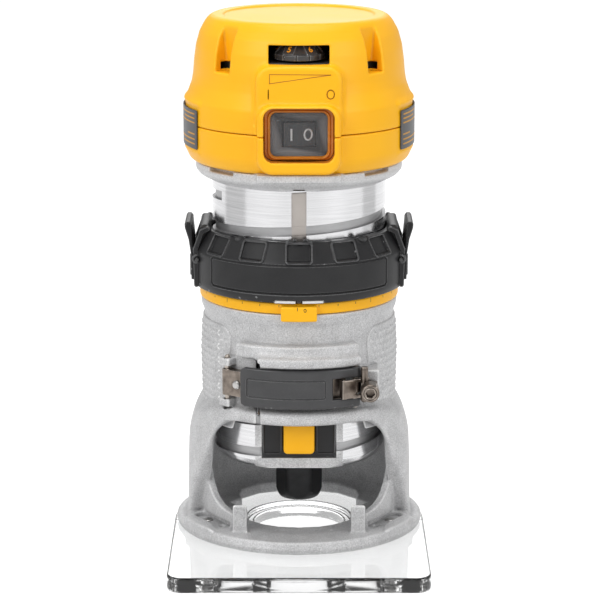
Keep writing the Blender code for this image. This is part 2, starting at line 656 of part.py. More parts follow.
def top_cap():
    profile = [(0, 0.2122), (0.0290, 0.2122), (0.0300, HEIGHT), (0.0338, HEIGHT), (0.0362, 0.2112)]
    profile += [(0.0391, 0.2066), (0.0408, 0.2010), (0.0414, 0.1950), (0.0418, 0.1890)]
    profile += [(0.0436, 0.1840), (0.0450, 0.1812), (0.0450, 0.1796), (0.0444, 0.1786)]
    profile += [(0.0450, 0.1740), (0.0450, SEAM_Z), (0.0425, SEAM_Z), (0.0418, 0.1790)]
    profile += [(0.0394, 0.1880), (0.0388, 0.1980), (0.0368, 0.2056), (0.0335, 0.2098), (0, 0.2098)]
    cap = place(turned("top_cap", profile, LARGE), YELLOW)
    panel = box("cap_panel", (-0.0163, -0.0428, 0.1800), (0.0163, -0.0380, 0.1977))
    bezel = box("upper_bezel", (-0.0156, -0.0470, SEAM_Z), (0.0156, -0.0380, 0.1846))
    join(cap, helper(bevelled(panel, 0.0012)), helper(bevelled(bezel, 0.0012)))
    cut(cap, helper(switch_recess("upper_switch_recess")))
    cut(cap, helper(box("dial_window", (-0.0116, -0.0500, 0.1990), (0.0116, -0.0300, 0.2058))))
    for i, angle in enumerate((-46, 46, 134, 226)):
        vent = box(f"vent_{i}", (-0.0032, -0.0550, 0.1935), (0.0032, -0.0345, 0.2112))
        cut(cap, helper(vent, turn=(0, 0, math.radians(angle))))
    cut(cap, helper(rod("cord_hole", 0.0058, 0.030, 0.060, "Y", SMALL), (0, 0, CORD_Z)))


def inner_shroud():
    """The wall inside the cap, behind the vents. It is open at the front, round the switch."""
    place(plate("inner_shroud", [sector(0.0310, 0.0330, 28, 332, 24)], 0.1720, 0.2060), BLACK)


def cord_bushing():
    """The inlet for the supply cord, a bush with a collar on each side of the cap's wall."""
    profile = [(0.0066, 0.0490), (0.0070, 0.0484), (0.0070, 0.0452), (0.0054, 0.0450)]
    profile += [(0.0054, 0.0360), (0.0036, 0.0360), (0.0036, 0.0490)]
    bushing = turned("cord_bushing", profile, SMALL)
    place(bushing, BLACK, (0, 0, CORD_Z), (-math.pi / 2, 0, 0))


def label_plates():
    for name, middle in (("left", -82), ("right", 82)):
        outline = sector(0.0453, 0.0457, middle - 22, middle + 22, 8)
        place(plate(f"label_plate_{name}", [outline], 0.1625, 0.1780), LABEL)


def switch_parts():
    """The switch behind the bezel, its rocker and the clear dust boot in front."""
    body = box("switch_body", (-0.0130, -0.0385, 0.1621), (0.0130, -0.0190, 0.1817))
    well = box("rocker_well", (-0.0066, -0.0500, 0.1664), (0.0066, -0.0330, 0.1764))
    cut(place(body, BLACK), helper(well))
    half = 0.0060
    outline = [(-half, -0.0392), (0, -0.0404), (half, -0.0392), (half * 0.9, -0.0366)]
    outline += [(0, -0.0338), (-half * 0.9, -0.0366)]
    rocker = plate("power_rocker", [outline], -0.0046, 0.0046)
    place(rocker, BLACK)
    rocker.data.transform(Matrix.Translation((0, -ROCKER_Y, 0)))
    rocker.location = (0, ROCKER_Y, SWITCH_Z - 0.0004)
    rocker.rotation_euler = (0, 0, math.radians(7))
    outer = box("switch_boot", (-0.0106, -0.0434, SWITCH_Z - 0.0082), (0.0106, -0.0389, SWITCH_Z + 0.0080))
    inner = box("boot_hollow", (-0.0098, -0.0426, SWITCH_Z - 0.0074), (0.0098, -0.0350, SWITCH_Z + 0.0072))
    cut(place(bevelled(outer, 0.0008), CLEAR), helper(inner))


def speed_parts():
    """The speed control and the thumb dial on it, which the cap's window shows."""
    control = box("speed_control", (-0.0130, -0.0365, 0.1860), (0.0130, -0.0130, 0.1982))
    place(control, BLACK)
    post = rod("speed_post", 0.0020, 0.1970, 0.2040)
    join(control, helper(post, (0, DIAL_Y, 0)))
    profile = [(0.0056, 0.2060), (0.0086, 0.2030), (0.0090, 0.2026), (0.0099, 0.2022)]
    profile += [(0.0099, 0.1997), (0.0092, 0.1992), (0.0024, 0.1992), (0.0024, 0.2060)]
    place(turned("speed_dial", profile, MEDIUM), BLACK, (0, DIAL_Y, 0))


for build in (
    sub_base, sub_base_screws, base_casting,
    clamp_band, clamp_pins, clamp_lever, toggle_link, tension_parts,
    scale_ring, depth_ring, release_tabs,
    motor_housing, nose_parts, spindle_lock, end_bracket, brush_gear, field,
    armature, cooling_fan, collet_parts,
    lower_housing, top_cap, inner_shroud, cord_bushing, label_plates, switch_parts, speed_parts,
):
    build()
bearing("lower_bearing", 0.0140, 0.0060, 0.0523, 0.0607)
bearing("upper_bearing", 0.0110, 0.0043, 0.1416, 0.1482)
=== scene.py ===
"""Looks of the trim router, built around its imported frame.

Shapes are worked out in millimetres about the spindle's axis, with -Y to the front and +Z up. Most are
distance fields, which are negative inside, and are meshed on a fine grid.
"""

import functools
import math

import bmesh
import bpy
import numpy as np
from mathutils import Matrix, Vector


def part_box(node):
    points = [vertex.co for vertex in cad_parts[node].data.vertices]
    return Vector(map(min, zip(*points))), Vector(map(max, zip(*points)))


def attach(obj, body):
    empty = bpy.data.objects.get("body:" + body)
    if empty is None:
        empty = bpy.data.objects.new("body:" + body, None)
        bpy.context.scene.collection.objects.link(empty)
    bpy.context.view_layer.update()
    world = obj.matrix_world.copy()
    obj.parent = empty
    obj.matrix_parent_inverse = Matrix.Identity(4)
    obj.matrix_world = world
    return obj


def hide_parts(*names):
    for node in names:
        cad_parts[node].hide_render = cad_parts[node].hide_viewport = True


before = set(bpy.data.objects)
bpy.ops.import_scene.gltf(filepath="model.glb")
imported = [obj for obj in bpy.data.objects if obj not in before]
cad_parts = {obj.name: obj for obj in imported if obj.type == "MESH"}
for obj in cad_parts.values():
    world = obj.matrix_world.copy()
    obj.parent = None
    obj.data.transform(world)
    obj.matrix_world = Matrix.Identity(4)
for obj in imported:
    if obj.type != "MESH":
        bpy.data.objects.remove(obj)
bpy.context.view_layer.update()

MM = 0.001
nut_low, nut_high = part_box("collet_nut")
AXIS_Y = (nut_low.y + nut_high.y) / 2

# ---------------------------------------------------------------- materials


def link(tree, source, socket, target, name):
    tree.links.new(source.outputs[socket], target.inputs[name])


def math_node(tree, operation, a, b):
    """A Math node. Each input is a number or a (node, socket) pair."""
    node = tree.nodes.new("ShaderNodeMath")
    node.operation = operation
    for i, value in enumerate((a, b)):
        if isinstance(value, tuple):
            tree.links.new(value[0].outputs[value[1]], node.inputs[i])
        else:
            node.inputs[i].default_value = value
    return node


def noise(tree, coords, scale, detail=3.0, stretch=(1, 1, 1), rough=0.5):
    mapping = tree.nodes.new("ShaderNodeMapping")
    mapping.inputs["Scale"].default_value = stretch
    link(tree, coords, "Object", mapping, "Vector")
    node = tree.nodes.new("ShaderNodeTexNoise")
    node.inputs["Scale"].default_value = scale
    node.inputs["Detail"].default_value = detail
    node.inputs["Roughness"].default_value = rough
    link(tree, mapping, "Vector", node, "Vector")
    return node


def surface(
    name, light, dark, roughness, metallic=0.0, mottle=90, grain=1500, bump=0.2, depth=0.00006,
    spread=0.08, stretch=(1, 1, 1), edge=None, valley_shade=None, speckle=0.0, **sockets,
):
    """A procedural finish: two wandering tones, grain in bump and gloss, painted edge highlights and painted
    valley shade.
    """
    mat = bpy.data.materials.new(name)
    mat.use_nodes = True
    tree = mat.node_tree
    shader = tree.nodes["Principled BSDF"]
    shader.inputs["Metallic"].default_value = metallic
    for socket, value in sockets.items():
        shader.inputs[socket.replace("_", " ")].default_value = value
    coords = tree.nodes.new("ShaderNodeTexCoord")
    broad = noise(tree, coords, mottle, 4.0)
    fine = noise(tree, coords, grain, 2.0, stretch)
    ramp = tree.nodes.new("ShaderNodeValToRGB")
    ramp.color_ramp.elements[0].position = 0.3
    ramp.color_ramp.elements[1].position = 0.7
    ramp.color_ramp.elements[0].color = (*dark, 1)
    ramp.color_ramp.elements[1].color = (*light, 1)
    share = math_node(tree, "MULTIPLY", (fine, "Fac"), speckle)
    rest = math_node(tree, "MULTIPLY", (broad, "Fac"), 1 - speckle)
    both = math_node(tree, "ADD", (share, "Value"), (rest, "Value"))
    link(tree, both, "Value", ramp, "Fac")
    colour = (ramp, "Color")
    # Chosen by pointiness: the edge tone is a painted highlight on sharp crests, and the valley tone is
    # painted shade in creases.
    for tone, start, end in ((edge, 0.52, 0.60), (valley_shade, 0.49, 0.41)):
        if tone:
            geometry = tree.nodes.new("ShaderNodeNewGeometry")
            span = tree.nodes.new("ShaderNodeMapRange")
            span.inputs["From Min"].default_value = start
            span.inputs["From Max"].default_value = end
            link(tree, geometry, "Pointiness", span, "Value")
            mix = tree.nodes.new("ShaderNodeMix")
            mix.data_type = "RGBA"
            mix.inputs["B"].default_value = (*tone, 1)
            link(tree, span, "Result", mix, "Factor")
            tree.links.new(colour[0].outputs[colour[1]], mix.inputs["A"])
            colour = (mix, "Result")
    tree.links.new(colour[0].outputs[colour[1]], shader.inputs["Base Color"])
    gloss = tree.nodes.new("ShaderNodeMapRange")
    gloss.inputs["To Min"].default_value = max(roughness - spread, 0.02)
    gloss.inputs["To Max"].default_value = roughness + spread
    link(tree, both, "Value", gloss, "Value")
    link(tree, gloss, "Result", shader, "Roughness")
    relief = tree.nodes.new("ShaderNodeBump")
    relief.inputs["Strength"].default_value = bump
    relief.inputs["Distance"].default_value = depth
    link(tree, fine, "Fac", relief, "Height")
    link(tree, relief, "Normal", shader, "Normal")
    return mat


# In the finishes below, each edge tone is a painted highlight on sharp edges and each valley tone is painted
# shade in creases and hollows.
YELLOW = surface(
    "yellow_abs", (1.0, 0.500, 0.006), (0.97, 0.465, 0.004), 0.42, mottle=35, grain=2600, bump=0.12,
    edge=(1.0, 0.58, 0.03), valley_shade=(0.62, 0.235, 0.003), Specular_IOR_Level=0.35,
)
# Painted shade: a darker amber on the switch recess walls and ledge, standing in for the shade that falls
# there.
SHADE_AMBER = surface("recess_shade", (0.66, 0.235, 0.022), (0.54, 0.180, 0.015), 0.25, grain=1800)
BLACK = surface(
    "black_nylon", (0.020, 0.020, 0.021), (0.011, 0.011, 0.012), 0.40, mottle=120, grain=2600, bump=0.35,
    edge=(0.22, 0.22, 0.225), valley_shade=(0.003, 0.003, 0.003), speckle=0.4, Specular_IOR_Level=0.32,
)
# Painted shade: near black on the inside faces of the yellow shells, standing in for the shade inside them.
INTERIOR_SHADE = surface("painted_interior_shade", (0.012, 0.012, 0.012), (0.008, 0.008, 0.008), 0.7)
CAST = surface(
    "blasted_casting", (0.70, 0.70, 0.705), (0.36, 0.36, 0.365), 0.50, 0.35, mottle=160, grain=2100, bump=0.9,
    depth=0.00016, edge=(0.84, 0.84, 0.84), valley_shade=(0.17, 0.17, 0.175), speckle=0.75,
)
MACHINED = surface(
    "turned_aluminium", (0.76, 0.76, 0.77), (0.58, 0.58, 0.59), 0.20, 1.0, mottle=40, grain=900, bump=0.12,
    depth=0.00004, stretch=(0.05, 0.05, 3.0), speckle=0.7, Anisotropic=0.6, Anisotropic_Rotation=0.25,
)
KEYWAY = surface(
    "milled_keyway", (0.50, 0.46, 0.43), (0.40, 0.37, 0.345), 0.38, 0.9, grain=1200, stretch=(1, 1, 0.1)
)
STEEL = surface("bright_steel", (0.62, 0.61, 0.60), (0.48, 0.47, 0.46), 0.30, 1.0, grain=1500)
NICKEL = surface(
    "aged_nickel", (0.30, 0.255, 0.22), (0.12, 0.10, 0.085), 0.34, 1.0, mottle=320, grain=1700, bump=0.25,
    edge=(0.62, 0.56, 0.50), valley_shade=(0.03, 0.025, 0.02),
)
LEVER = surface(
    "lever_paint", (0.060, 0.060, 0.062), (0.042, 0.042, 0.044), 0.34, 0.2, mottle=150, grain=2600,
    edge=(0.20, 0.20, 0.20), speckle=0.3,
)
OXIDE = surface(
    "black_oxide", (0.026, 0.026, 0.028), (0.014, 0.014, 0.015), 0.36, 0.5, mottle=200, grain=1800, bump=0.15,
    edge=(0.09, 0.09, 0.09),
)
COPPER = surface("copper_wire", (0.74, 0.33, 0.17), (0.55, 0.22, 0.10), 0.34, 1.0, grain=900)
FLANGE_CAST = surface(
    "flange_casting", (0.74, 0.74, 0.745), (0.44, 0.44, 0.445), 0.48, 0.35, mottle=160, grain=2100, bump=0.7,
    depth=0.00014, speckle=0.75,
)
GROOVE = surface(
    "milled_groove", (0.46, 0.46, 0.465), (0.34, 0.34, 0.345), 0.42, 0.8, grain=900, stretch=(0.1, 0.1, 1.0),
    speckle=0.6,
)
DIAL = surface(
    "dial_nylon", (0.050, 0.050, 0.052), (0.034, 0.034, 0.036), 0.34, mottle=120, grain=2600, bump=0.2,
    edge=(0.36, 0.36, 0.36),
)
FLAG = surface("flag_cloth", (0.3, 0.3, 0.3), (0.28, 0.28, 0.28), 0.9, Emission_Color=(1, 1, 1, 1),
               Emission_Strength=0.42)
CARBON = surface("carbon_block", (0.045, 0.045, 0.045), (0.025, 0.025, 0.025), 0.65, grain=1800)
LABEL = surface("label_film", (0.075, 0.075, 0.078), (0.060, 0.060, 0.062), 0.42, grain=2500, bump=0.06)
PRINT = surface("label_print", (0.62, 0.30, 0.03), (0.50, 0.23, 0.02), 0.5, grain=2000)
MARK = surface("moulded_mark", (0.46, 0.17, 0.004), (0.38, 0.135, 0.003), 0.5, grain=2000)
WHITE = surface("white_print", (0.86, 0.86, 0.86), (0.78, 0.78, 0.78), 0.5, grain=2000)
ORANGE = surface("orange_print", (1.0, 0.42, 0.02), (0.92, 0.36, 0.015), 0.5, grain=2000)
INK = surface("black_print", (0.02, 0.02, 0.02), (0.012, 0.012, 0.012), 0.5, grain=2000)
CLEAR = surface(
    "clear_polycarbonate", (0.992, 0.996, 0.996), (0.985, 0.990, 0.991), 0.035, grain=500, bump=0.03,
    depth=0.00002, spread=0.015, Transmission_Weight=1.0, IOR=1.57,
)
BOOT = surface(
    "clear_vinyl", (0.42, 0.43, 0.44), (0.34, 0.35, 0.36), 0.10, grain=900, bump=0.10, spread=0.03, IOR=1.45,
    Specular_IOR_Level=0.25,
)


def see_through(mat, flat, crest):
    """Lets light through a thin skin, less so where it folds."""
    tree = mat.node_tree
    geometry = tree.nodes.new("ShaderNodeNewGeometry")
    span = tree.nodes.new("ShaderNodeMapRange")
    span.inputs["From Min"].default_value = 0.54
    span.inputs["From Max"].default_value = 0.66
    span.inputs["To Min"].default_value = flat
    span.inputs["To Max"].default_value = crest
    link(tree, geometry, "Pointiness", span, "Value")
    link(tree, span, "Result", tree.nodes["Principled BSDF"], "Alpha")


see_through(BOOT, 0.06, 0.60)

# ---------------------------------------------------------------- distance fields


def soft_min(a, b, k):
    """The union of two fields, with a fillet about k wide."""
    blend = np.maximum(k - np.abs(a - b), 0) / k
    return np.minimum(a, b) - blend * blend * k / 4


def soft_max(a, b, k):
    """What two fields share, with its edge rounded by about k."""
    return -soft_min(-a, -b, k)


def meet(*fields):
    """What the fields share."""
    return functools.reduce(np.maximum, fields)


def either(*fields):
    """What any of the fields covers."""
    return functools.reduce(np.minimum, fields)


def cut(body, tool, k=0):
    """The body less the tool, with the cut's edge rounded by about k."""
    return soft_max(body, -tool, k) if k else np.maximum(body, -tool)


def disc(u, v, middle, radius):
    """A round in two of the coordinates."""
    return np.hypot(u - middle[0], v - middle[1]) - radius


def egg(x, y, z, middle, radii):
    """A ball with a radius along each axis. It is 0 at its surface and -1 at its middle."""
    parts = [((v - m) / radius) ** 2 for v, m, radius in zip((x, y, z), middle, radii)]
    return np.sqrt(parts[0] + parts[1] + parts[2]) - 1


def hexagon(u, v, half, turn):
    """A hexagon that is two halves wide across its flats."""
    angles = [math.radians(60 * k + turn) for k in range(3)]
    return meet(*[np.abs(u * math.cos(a) + v * math.sin(a)) - half for a in angles])


def slab(v, low, high):
    return np.maximum(low - v, v - high)


def rounded(u, v, middle, half, corner):
    """A rounded rectangle."""
    du = np.abs(u - middle[0]) - (half[0] - corner)
    dv = np.abs(v - middle[1]) - (half[1] - corner)
    outside = np.hypot(np.maximum(du, 0), np.maximum(dv, 0))
    return outside + np.minimum(np.maximum(du, dv), 0) - corner


def wedge(x, y, left, right):
    """The sector between two angles, in degrees from the front, positive to the right."""
    a, b = math.radians(left), math.radians(right)
    return np.maximum(-(x * math.cos(a) + y * math.sin(a)), x * math.cos(b) + y * math.sin(b))


def ring_sector(x, y, inner, outer, left, right):
    return np.maximum(slab(np.hypot(x, y), inner, outer), wedge(x, y, left, right))


def stick(u, v, a, b, radius):
    """A bar with round ends between two points of a plane."""
    du, dv = b[0] - a[0], b[1] - a[1]
    t = np.clip(((u - a[0]) * du + (v - a[1]) * dv) / (du * du + dv * dv), 0, 1)
    return np.hypot(u - a[0] - t * du, v - a[1] - t * dv) - radius


def polygon(x, y, points):
    """The signed distance to a closed outline."""
    points = np.array(points, float)
    best, sign = None, 1.0
    for (ax, ay), (bx, by) in zip(points, np.roll(points, 1, axis=0)):
        ex, ey = bx - ax, by - ay
        wx, wy = x - ax, y - ay
        t = np.clip((wx * ex + wy * ey) / (ex * ex + ey * ey), 0, 1)
        d = (wx - ex * t) ** 2 + (wy - ey * t) ** 2
        best = d if best is None else np.minimum(best, d)
        above, under, left = y >= ay, y < by, ex * wy > ey * wx
        flip = (above & under & left) | (~above & ~under & ~left)
        sign = np.where(flip, -sign, sign)
    return sign * np.sqrt(best)


def profile(points, blur=0.7):
    """A radius that changes with height, from (z, radius) points, with its corners blurred."""
    zs, rs = zip(*points)
    grid = np.arange(zs[0] - 5, zs[-1] + 5, 0.1)
    reach = int(round(blur * 30))
    kernel = np.exp(-0.5 * (np.arange(-reach, reach + 1) * 0.1 / blur) ** 2)
    radii = np.convolve(
        np.pad(np.interp(grid, zs, rs), reach, mode="edge"), kernel / kernel.sum(), "valid"
    )
    return lambda z: np.interp(z, grid, radii)


def angle_of(x, y):
    return np.degrees(np.arctan2(x, -y))


# ---------------------------------------------------------------- meshes


def add_piece(name, mesh, body, materials, nodes=(), chooser=None, smooth=True):
    """Makes an object from a mesh that is in millimetres about the axis, and hooks it to the frame."""
    mesh.transform(Matrix.Translation((0, AXIS_Y, 0)) @ Matrix.Scale(MM, 4))
    materials = materials if isinstance(materials, (list, tuple)) else [materials]
    for mat in materials:
        mesh.materials.append(mat)
    if chooser:
        count = len(mesh.polygons)
        centres = np.zeros(count * 3)
        mesh.polygons.foreach_get("center", centres)
        centres = centres.reshape(-1, 3) / MM - (0, AXIS_Y / MM, 0)
        normals = np.zeros(count * 3)
        mesh.polygons.foreach_get("normal", normals)
        index = chooser(centres.T, normals.reshape(-1, 3).T)
        mesh.polygons.foreach_set("material_index", np.asarray(index, np.int32))
    if smooth:
        mesh.polygons.foreach_set("use_smooth", np.ones(len(mesh.polygons), bool))
    obj = bpy.data.objects.new(name, mesh)
    bpy.context.scene.collection.objects.link(obj)
    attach(obj, body)
    if nodes:
        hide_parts(*nodes)
    return obj


def raw_mesh(name, points, faces):
    """A mesh from numpy arrays, with faces of one size."""
    mesh = bpy.data.meshes.new(name)
    mesh.vertices.add(len(points))
    mesh.vertices.foreach_set("co", np.asarray(points, np.float32).ravel())
    sides = faces.shape[1]
    mesh.loops.add(faces.size)
    mesh.loops.foreach_set("vertex_index", np.asarray(faces, np.int32).ravel())
    mesh.polygons.add(len(faces))
    mesh.polygons.foreach_set("loop_start", np.arange(0, faces.size, sides, dtype=np.int32))
    mesh.update(calc_edges=True)
    mesh.validate()
    return mesh


def field_mesh(name, field, low, high, step):
    """The zero level of a field, as quads with one point in each cell that it crosses."""
    axes = [np.arange(a - step * 1.63, b + step * 2, step) for a, b in zip(low, high)]
    shape = [len(a) for a in axes]
    values = np.empty(shape, np.float32)
    for k in range(0, shape[2], 24):
        part = axes[2][None, None, k:k + 24]
        values[:, :, k:k + 24] = field(axes[0][:, None, None], axes[1][None, :, None], part)
    inside = values < 0
    corners = np.zeros([n - 1 for n in shape], np.uint8)
    for i in (0, 1):
        for j in (0, 1):
            for k in (0, 1):
                corners += inside[i:shape[0] - 1 + i, j:shape[1] - 1 + j, k:shape[2] - 1 + k]
    cells = np.argwhere((corners > 0) & (corners < 8))
    number = np.full(corners.shape, -1, np.int32)
    number[tuple(cells.T)] = np.arange(len(cells))
    total, hits = np.zeros((len(cells), 3)), np.zeros(len(cells))
    for axis in range(3):
        for a in (0, 1):
            for b in (0, 1):
                start = np.zeros(3, int)
                start[(axis + 1) % 3], start[(axis + 2) % 3] = a, b
                end = start.copy()
                end[axis] = 1
                f0, f1 = values[tuple((cells + start).T)], values[tuple((cells + end).T)]
                crossed = (f0 < 0) != (f1 < 0)
                t = f0[crossed] / (f0[crossed] - f1[crossed])
                total[crossed] += start
                total[crossed, axis] += t
                hits[crossed] += 1
    points = (cells + total / hits[:, None]) * step + [a[0] for a in axes]
    nudge = 0.01
    for _ in range(3):
        f = field(*points.T)
        slope = np.stack([(field(*(points + e).T) - f) / nudge for e in np.eye(3) * nudge], axis=1)
        move = -(f / np.maximum((slope ** 2).sum(1), 0.05))[:, None] * slope
        points += np.clip(move, -step / 2, step / 2)
    faces = []
    for axis in range(3):
        u, v = (axis + 1) % 3, (axis + 2) % 3
        ahead = [slice(None)] * 3
        ahead[axis] = slice(1, None)
        behind = [slice(None)] * 3
        behind[axis] = slice(None, -1)
        here, there = inside[tuple(behind)], inside[tuple(ahead)]
        edges = np.argwhere(here != there)
        edges = edges[(edges[:, u] > 0) & (edges[:, v] > 0)]
        edges = edges[(edges[:, u] < shape[u] - 1) & (edges[:, v] < shape[v] - 1)]
        quad = []
        for du, dv in ((1, 1), (0, 1), (0, 0), (1, 0)):
            cell = edges.copy()
            cell[:, u] -= du
            cell[:, v] -= dv
            quad.append(number[tuple(cell.T)])
        quad = np.stack(quad, axis=1)
        out = inside[tuple(edges.T)]
        faces.append(np.where(out[:, None], quad, quad[:, ::-1]))
    return raw_mesh(name, points, np.concatenate(faces))


def solid(name, field, low, high, step, body, materials, nodes=(), chooser=None):
    """A piece made from a distance field."""
    mesh = field_mesh(name, field, low, high, step)
    return add_piece(name, mesh, body, materials, nodes, chooser)


def bm_mesh(name, bm):
    mesh = bpy.data.meshes.new(name)
    bm.to_mesh(mesh)
    bm.free()
    return mesh


def turned(name, points, steps=96, at=(0, 0, 0), turn=None):
    """A turned shape from (radius, height) points that run round its section."""
    angles = np.arange(steps) * 2 * math.pi / steps
    rows = [np.stack([r * np.sin(angles), -r * np.cos(angles), np.full(steps, z)], 1) for r, z in points]
    closed = points[0][0] > 0 and points[-1][0] > 0
    count = len(points)
    grid = np.arange(count * steps).reshape(count, steps)
    after = np.roll(grid, -1, axis=1)
    last = count if closed else count - 1
    quads = [
        np.stack([grid[i], grid[(i + 1) % count], after[(i + 1) % count], after[i]], 1) for i in range(last)
    ]
    mesh = raw_mesh(name, np.concatenate(rows), np.concatenate(quads))
    bm = bmesh.new()
    bm.from_mesh(mesh)
    bpy.data.meshes.remove(mesh)
    bmesh.ops.remove_doubles(bm, verts=bm.verts, dist=0.0005)
    bmesh.ops.recalc_face_normals(bm, faces=bm.faces)
    matrix = Matrix.Translation(at) @ (turn or Matrix())
    bmesh.ops.transform(bm, matrix=matrix, verts=bm.verts)
    made = bm_mesh(name, bm)
    made.polygons.foreach_set("use_smooth", np.ones(len(made.polygons), bool))
    made.set_sharp_from_angle(angle=math.radians(30))
    return made


BACK_Y = Matrix.Rotation(math.radians(-90), 4, "X")
ALONG_X = Matrix.Rotation(math.radians(90), 4, "Y")


def lathe(name, points, body, mat, nodes=(), steps=96, at=(0, 0, 0), turn=None):
    return add_piece(name, turned(name, points, steps, at, turn), body, mat, nodes, smooth=False)


def pin(node, body, mat, axis="Z", ease=0.15):
    """A round pin with eased ends, in the place and size of a CAD pin."""
    low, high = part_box(node)
    low, high = low / MM - Vector((0, AXIS_Y / MM, 0)), high / MM - Vector((0, AXIS_Y / MM, 0))
    size, middle = high - low, (low + high) / 2
    i = "XYZ".index(axis)
    radius, half = size[(i + 1) % 3] / 2, size[i] / 2
    points = [(0, -half), (radius - ease, -half), (radius, ease - half), (radius, half - ease)]
    points += [(radius - ease, half), (0, half)]
    turn = {"X": ALONG_X, "Y": BACK_Y, "Z": Matrix()}[axis]
    return lathe(f"{node}_round", points, body, mat, [node], 40, middle, turn)


# ---------------------------------------------------------------- base casting

WALL = profile([
    (11.4, 44.9), (21.5, 44.6), (34, 44.4), (44, 43.8), (47.5, 42.6), (51.5, 40.4), (55.5, 38.6),
    (60, 38.0), (79, 38.4), (90, 37.9), (95, 38.0), (97.2, 39.0), (100.6, 39.3),
])
LOWER_WALL = profile([(11.4, 44.9), (21.5, 44.6), (34, 44.4), (44, 44.0), (62, 43.4)])
CAVITY = profile([(8, 38.6), (24, 39.0), (40, 38.6), (50.5, 36.6), (56, 34.8), (115, 34.8)], 0.5)
BIT_OPENING_SIDE = [
    (-8, -25.3), (-14, -22.4), (-20.2, -16.8), (-21.6, -9.5), (-21.1, -2.5), (-28, 4.9), (-23.6, 10.9),
    (-24.6, 16), (-23.9, 21.9), (-16.4, 29.6), (-8.5, 32.3),
]
BIT_OPENING = [(0, -26.4), *BIT_OPENING_SIDE, (0, 33.1), *[(-x, y) for x, y in reversed(BIT_OPENING_SIDE)]]
ANCHOR = (40.8 * math.sin(math.radians(-43.5)), -40.8 * math.cos(math.radians(-43.5)))
SPLIT = (-16.7, -15.2)
SCREW_X, CLAMP_Z = 27.6, 71.4
SOLE_Z, LEDGE_Z, COLLAR_Z = 6.3, 12.0, 100.6
GUIDE_X = 23.45
SUB_BASE_SCREWS = [(x, y) for y in (-18.3, 18.3) for x in (-36.7, 36.7)]


def casting_outside(x, y, z, r):
    """The collar, the arch below it with its leaning front, the foot, its front ledge and the neck."""
    upper = soft_max(r - WALL(z), slab(z, 8, COLLAR_Z), 0.8)
    arch = soft_max(rounded(np.abs(x), z, (0, 20), (43.8, 41.0), 15), r - LOWER_WALL(z), 2.2)
    body = soft_min(upper, meet(arch, 8 - z), 3.5)
    lean = (y + 9.0 + (z - 13.0) * 0.54) * 0.88
    body = cut(body, meet(lean, slab(z, 11.7, 55.5)), 2.0)
    foot = soft_max(r - 49.8, slab(z, SOLE_Z, 8.8), 0.9)
    ledge_end = (np.abs(x) - 46.0) * 0.814 + (y + 18.0) * 0.581
    front = soft_max(meet(r - 49.4, ledge_end), slab(z, SOLE_Z, LEDGE_Z), 0.9)
    body = soft_min(soft_min(body, foot, 3.0), front, 0.7)
    return either(body, soft_max(r - 36.4, slab(z, 90, 111), 0.6))


def clamp_seats(body, x, y, z, r):
    """The body with the swellings over and under the clamp, its two lugs and the ear for the screw."""
    lip = soft_max(meet(r - 45.5, wedge(x, y, -21, 32.5)), slab(z, 80.3, 84.0), 1.6)
    boss = soft_max(meet(r - 42.2, wedge(x, y, -36, 34)), slab(z, 82.6, 88.3), 1.4)
    body = soft_min(body, soft_min(lip, boss, 3.5), 1.2)
    sill = soft_max(meet(r - 41.9, wedge(x, y, -38, 38)), slab(z, 56, 61.5), 1.6)
    body = soft_min(body, sill, 2.4)
    lugs = either(slab(z, 61.7, 64.8), slab(z, 78.2, 81.3))
    body = soft_min(body, soft_max(ring_sector(x, y, 36, 43, -47, -40), lugs, 0.8), 0.8)
    ear = meet(slab(x, 24.3, 31.4), slab(y, -35.2, -24), slab(z, 65.5, 77.5))
    return soft_min(body, ear, 1.2)


def opened(body, x, y, z, r):
    """The body hollowed out, with the front window and the bit opening cut through it."""
    inner = soft_max(r - CAVITY(z), 10.6 - z, 8.0)
    body = cut(body, inner, 0.7)
    window = meet(rounded(x, z, (0, 30), (34, 26), 12), y + 3, 11.7 - z)
    body = cut(body, window, 3.2)
    return cut(body, meet(polygon(x, y, BIT_OPENING), z - 20), 0.9)


def guides_and_webs(body, x, y, z):
    """The body with two bosses on the front ledge, the key in the bore and low webs towards the legs."""
    boss_x = np.abs(np.abs(x) - GUIDE_X) - 2.75
    top = (z - 21.5) * 0.87 + (y + 33.6) * 0.42
    guide = soft_max(meet(boss_x, slab(y, -36.2, -31.0)), meet(top, 8 - z), 1.1)
    body = soft_min(body, guide, 1.6)
    body = either(body, meet(np.abs(x) - 2.5, slab(y, -36.2, -34.1), slab(z, 88, 99)))
    web_share = np.clip((np.abs(angle_of(x, y)) - 41) / 40, 0, 1)
    web_top = 16.6 + 5 * web_share + 26 * web_share ** 3
    web = soft_max(meet(ring_sector(np.abs(x), y, 36.9, 39.9, 38, 88), z - web_top), 7 - z, 0.8)
    return soft_min(body, web, 1.6)


def holes(body, x, y, z):
    """The body with pockets, screw holes, the collar's slit, the clamp's holes and two dimples cut out."""
    pocket = meet(stick(np.abs(x), y, (38.4, -15.2), (30.6, -27.2), 3.4), 10.4 - z)
    body = cut(body, meet(pocket, z - 13), 0.5)
    for px, py, radius in ((36.7, -18.3, 1.5), (30.9, -24.7, 1.2), (36.7, 18.3, 1.5)):
        body = cut(body, meet(disc(np.abs(x), y, (px, py), radius), z - 12.5), 0.5)
    body = cut(body, meet(slab(x, *SPLIT), y + 25, slab(z, 52, 82)), 0.6)
    body = cut(body, meet(disc(x, z, (SCREW_X, CLAMP_Z), 1.9), slab(y, -40, -22)))
    body = cut(body, meet(disc(x, y, ANCHOR, 1.5), slab(z, 60, 83)))
    for middle in ((-11.2, -42.6, 87.6), (-11.2, -43.0, 56.2)):
        body = cut(body, egg(x, y, z, middle, (1.7, 1.6, 1.1)), 0.5)
    return body


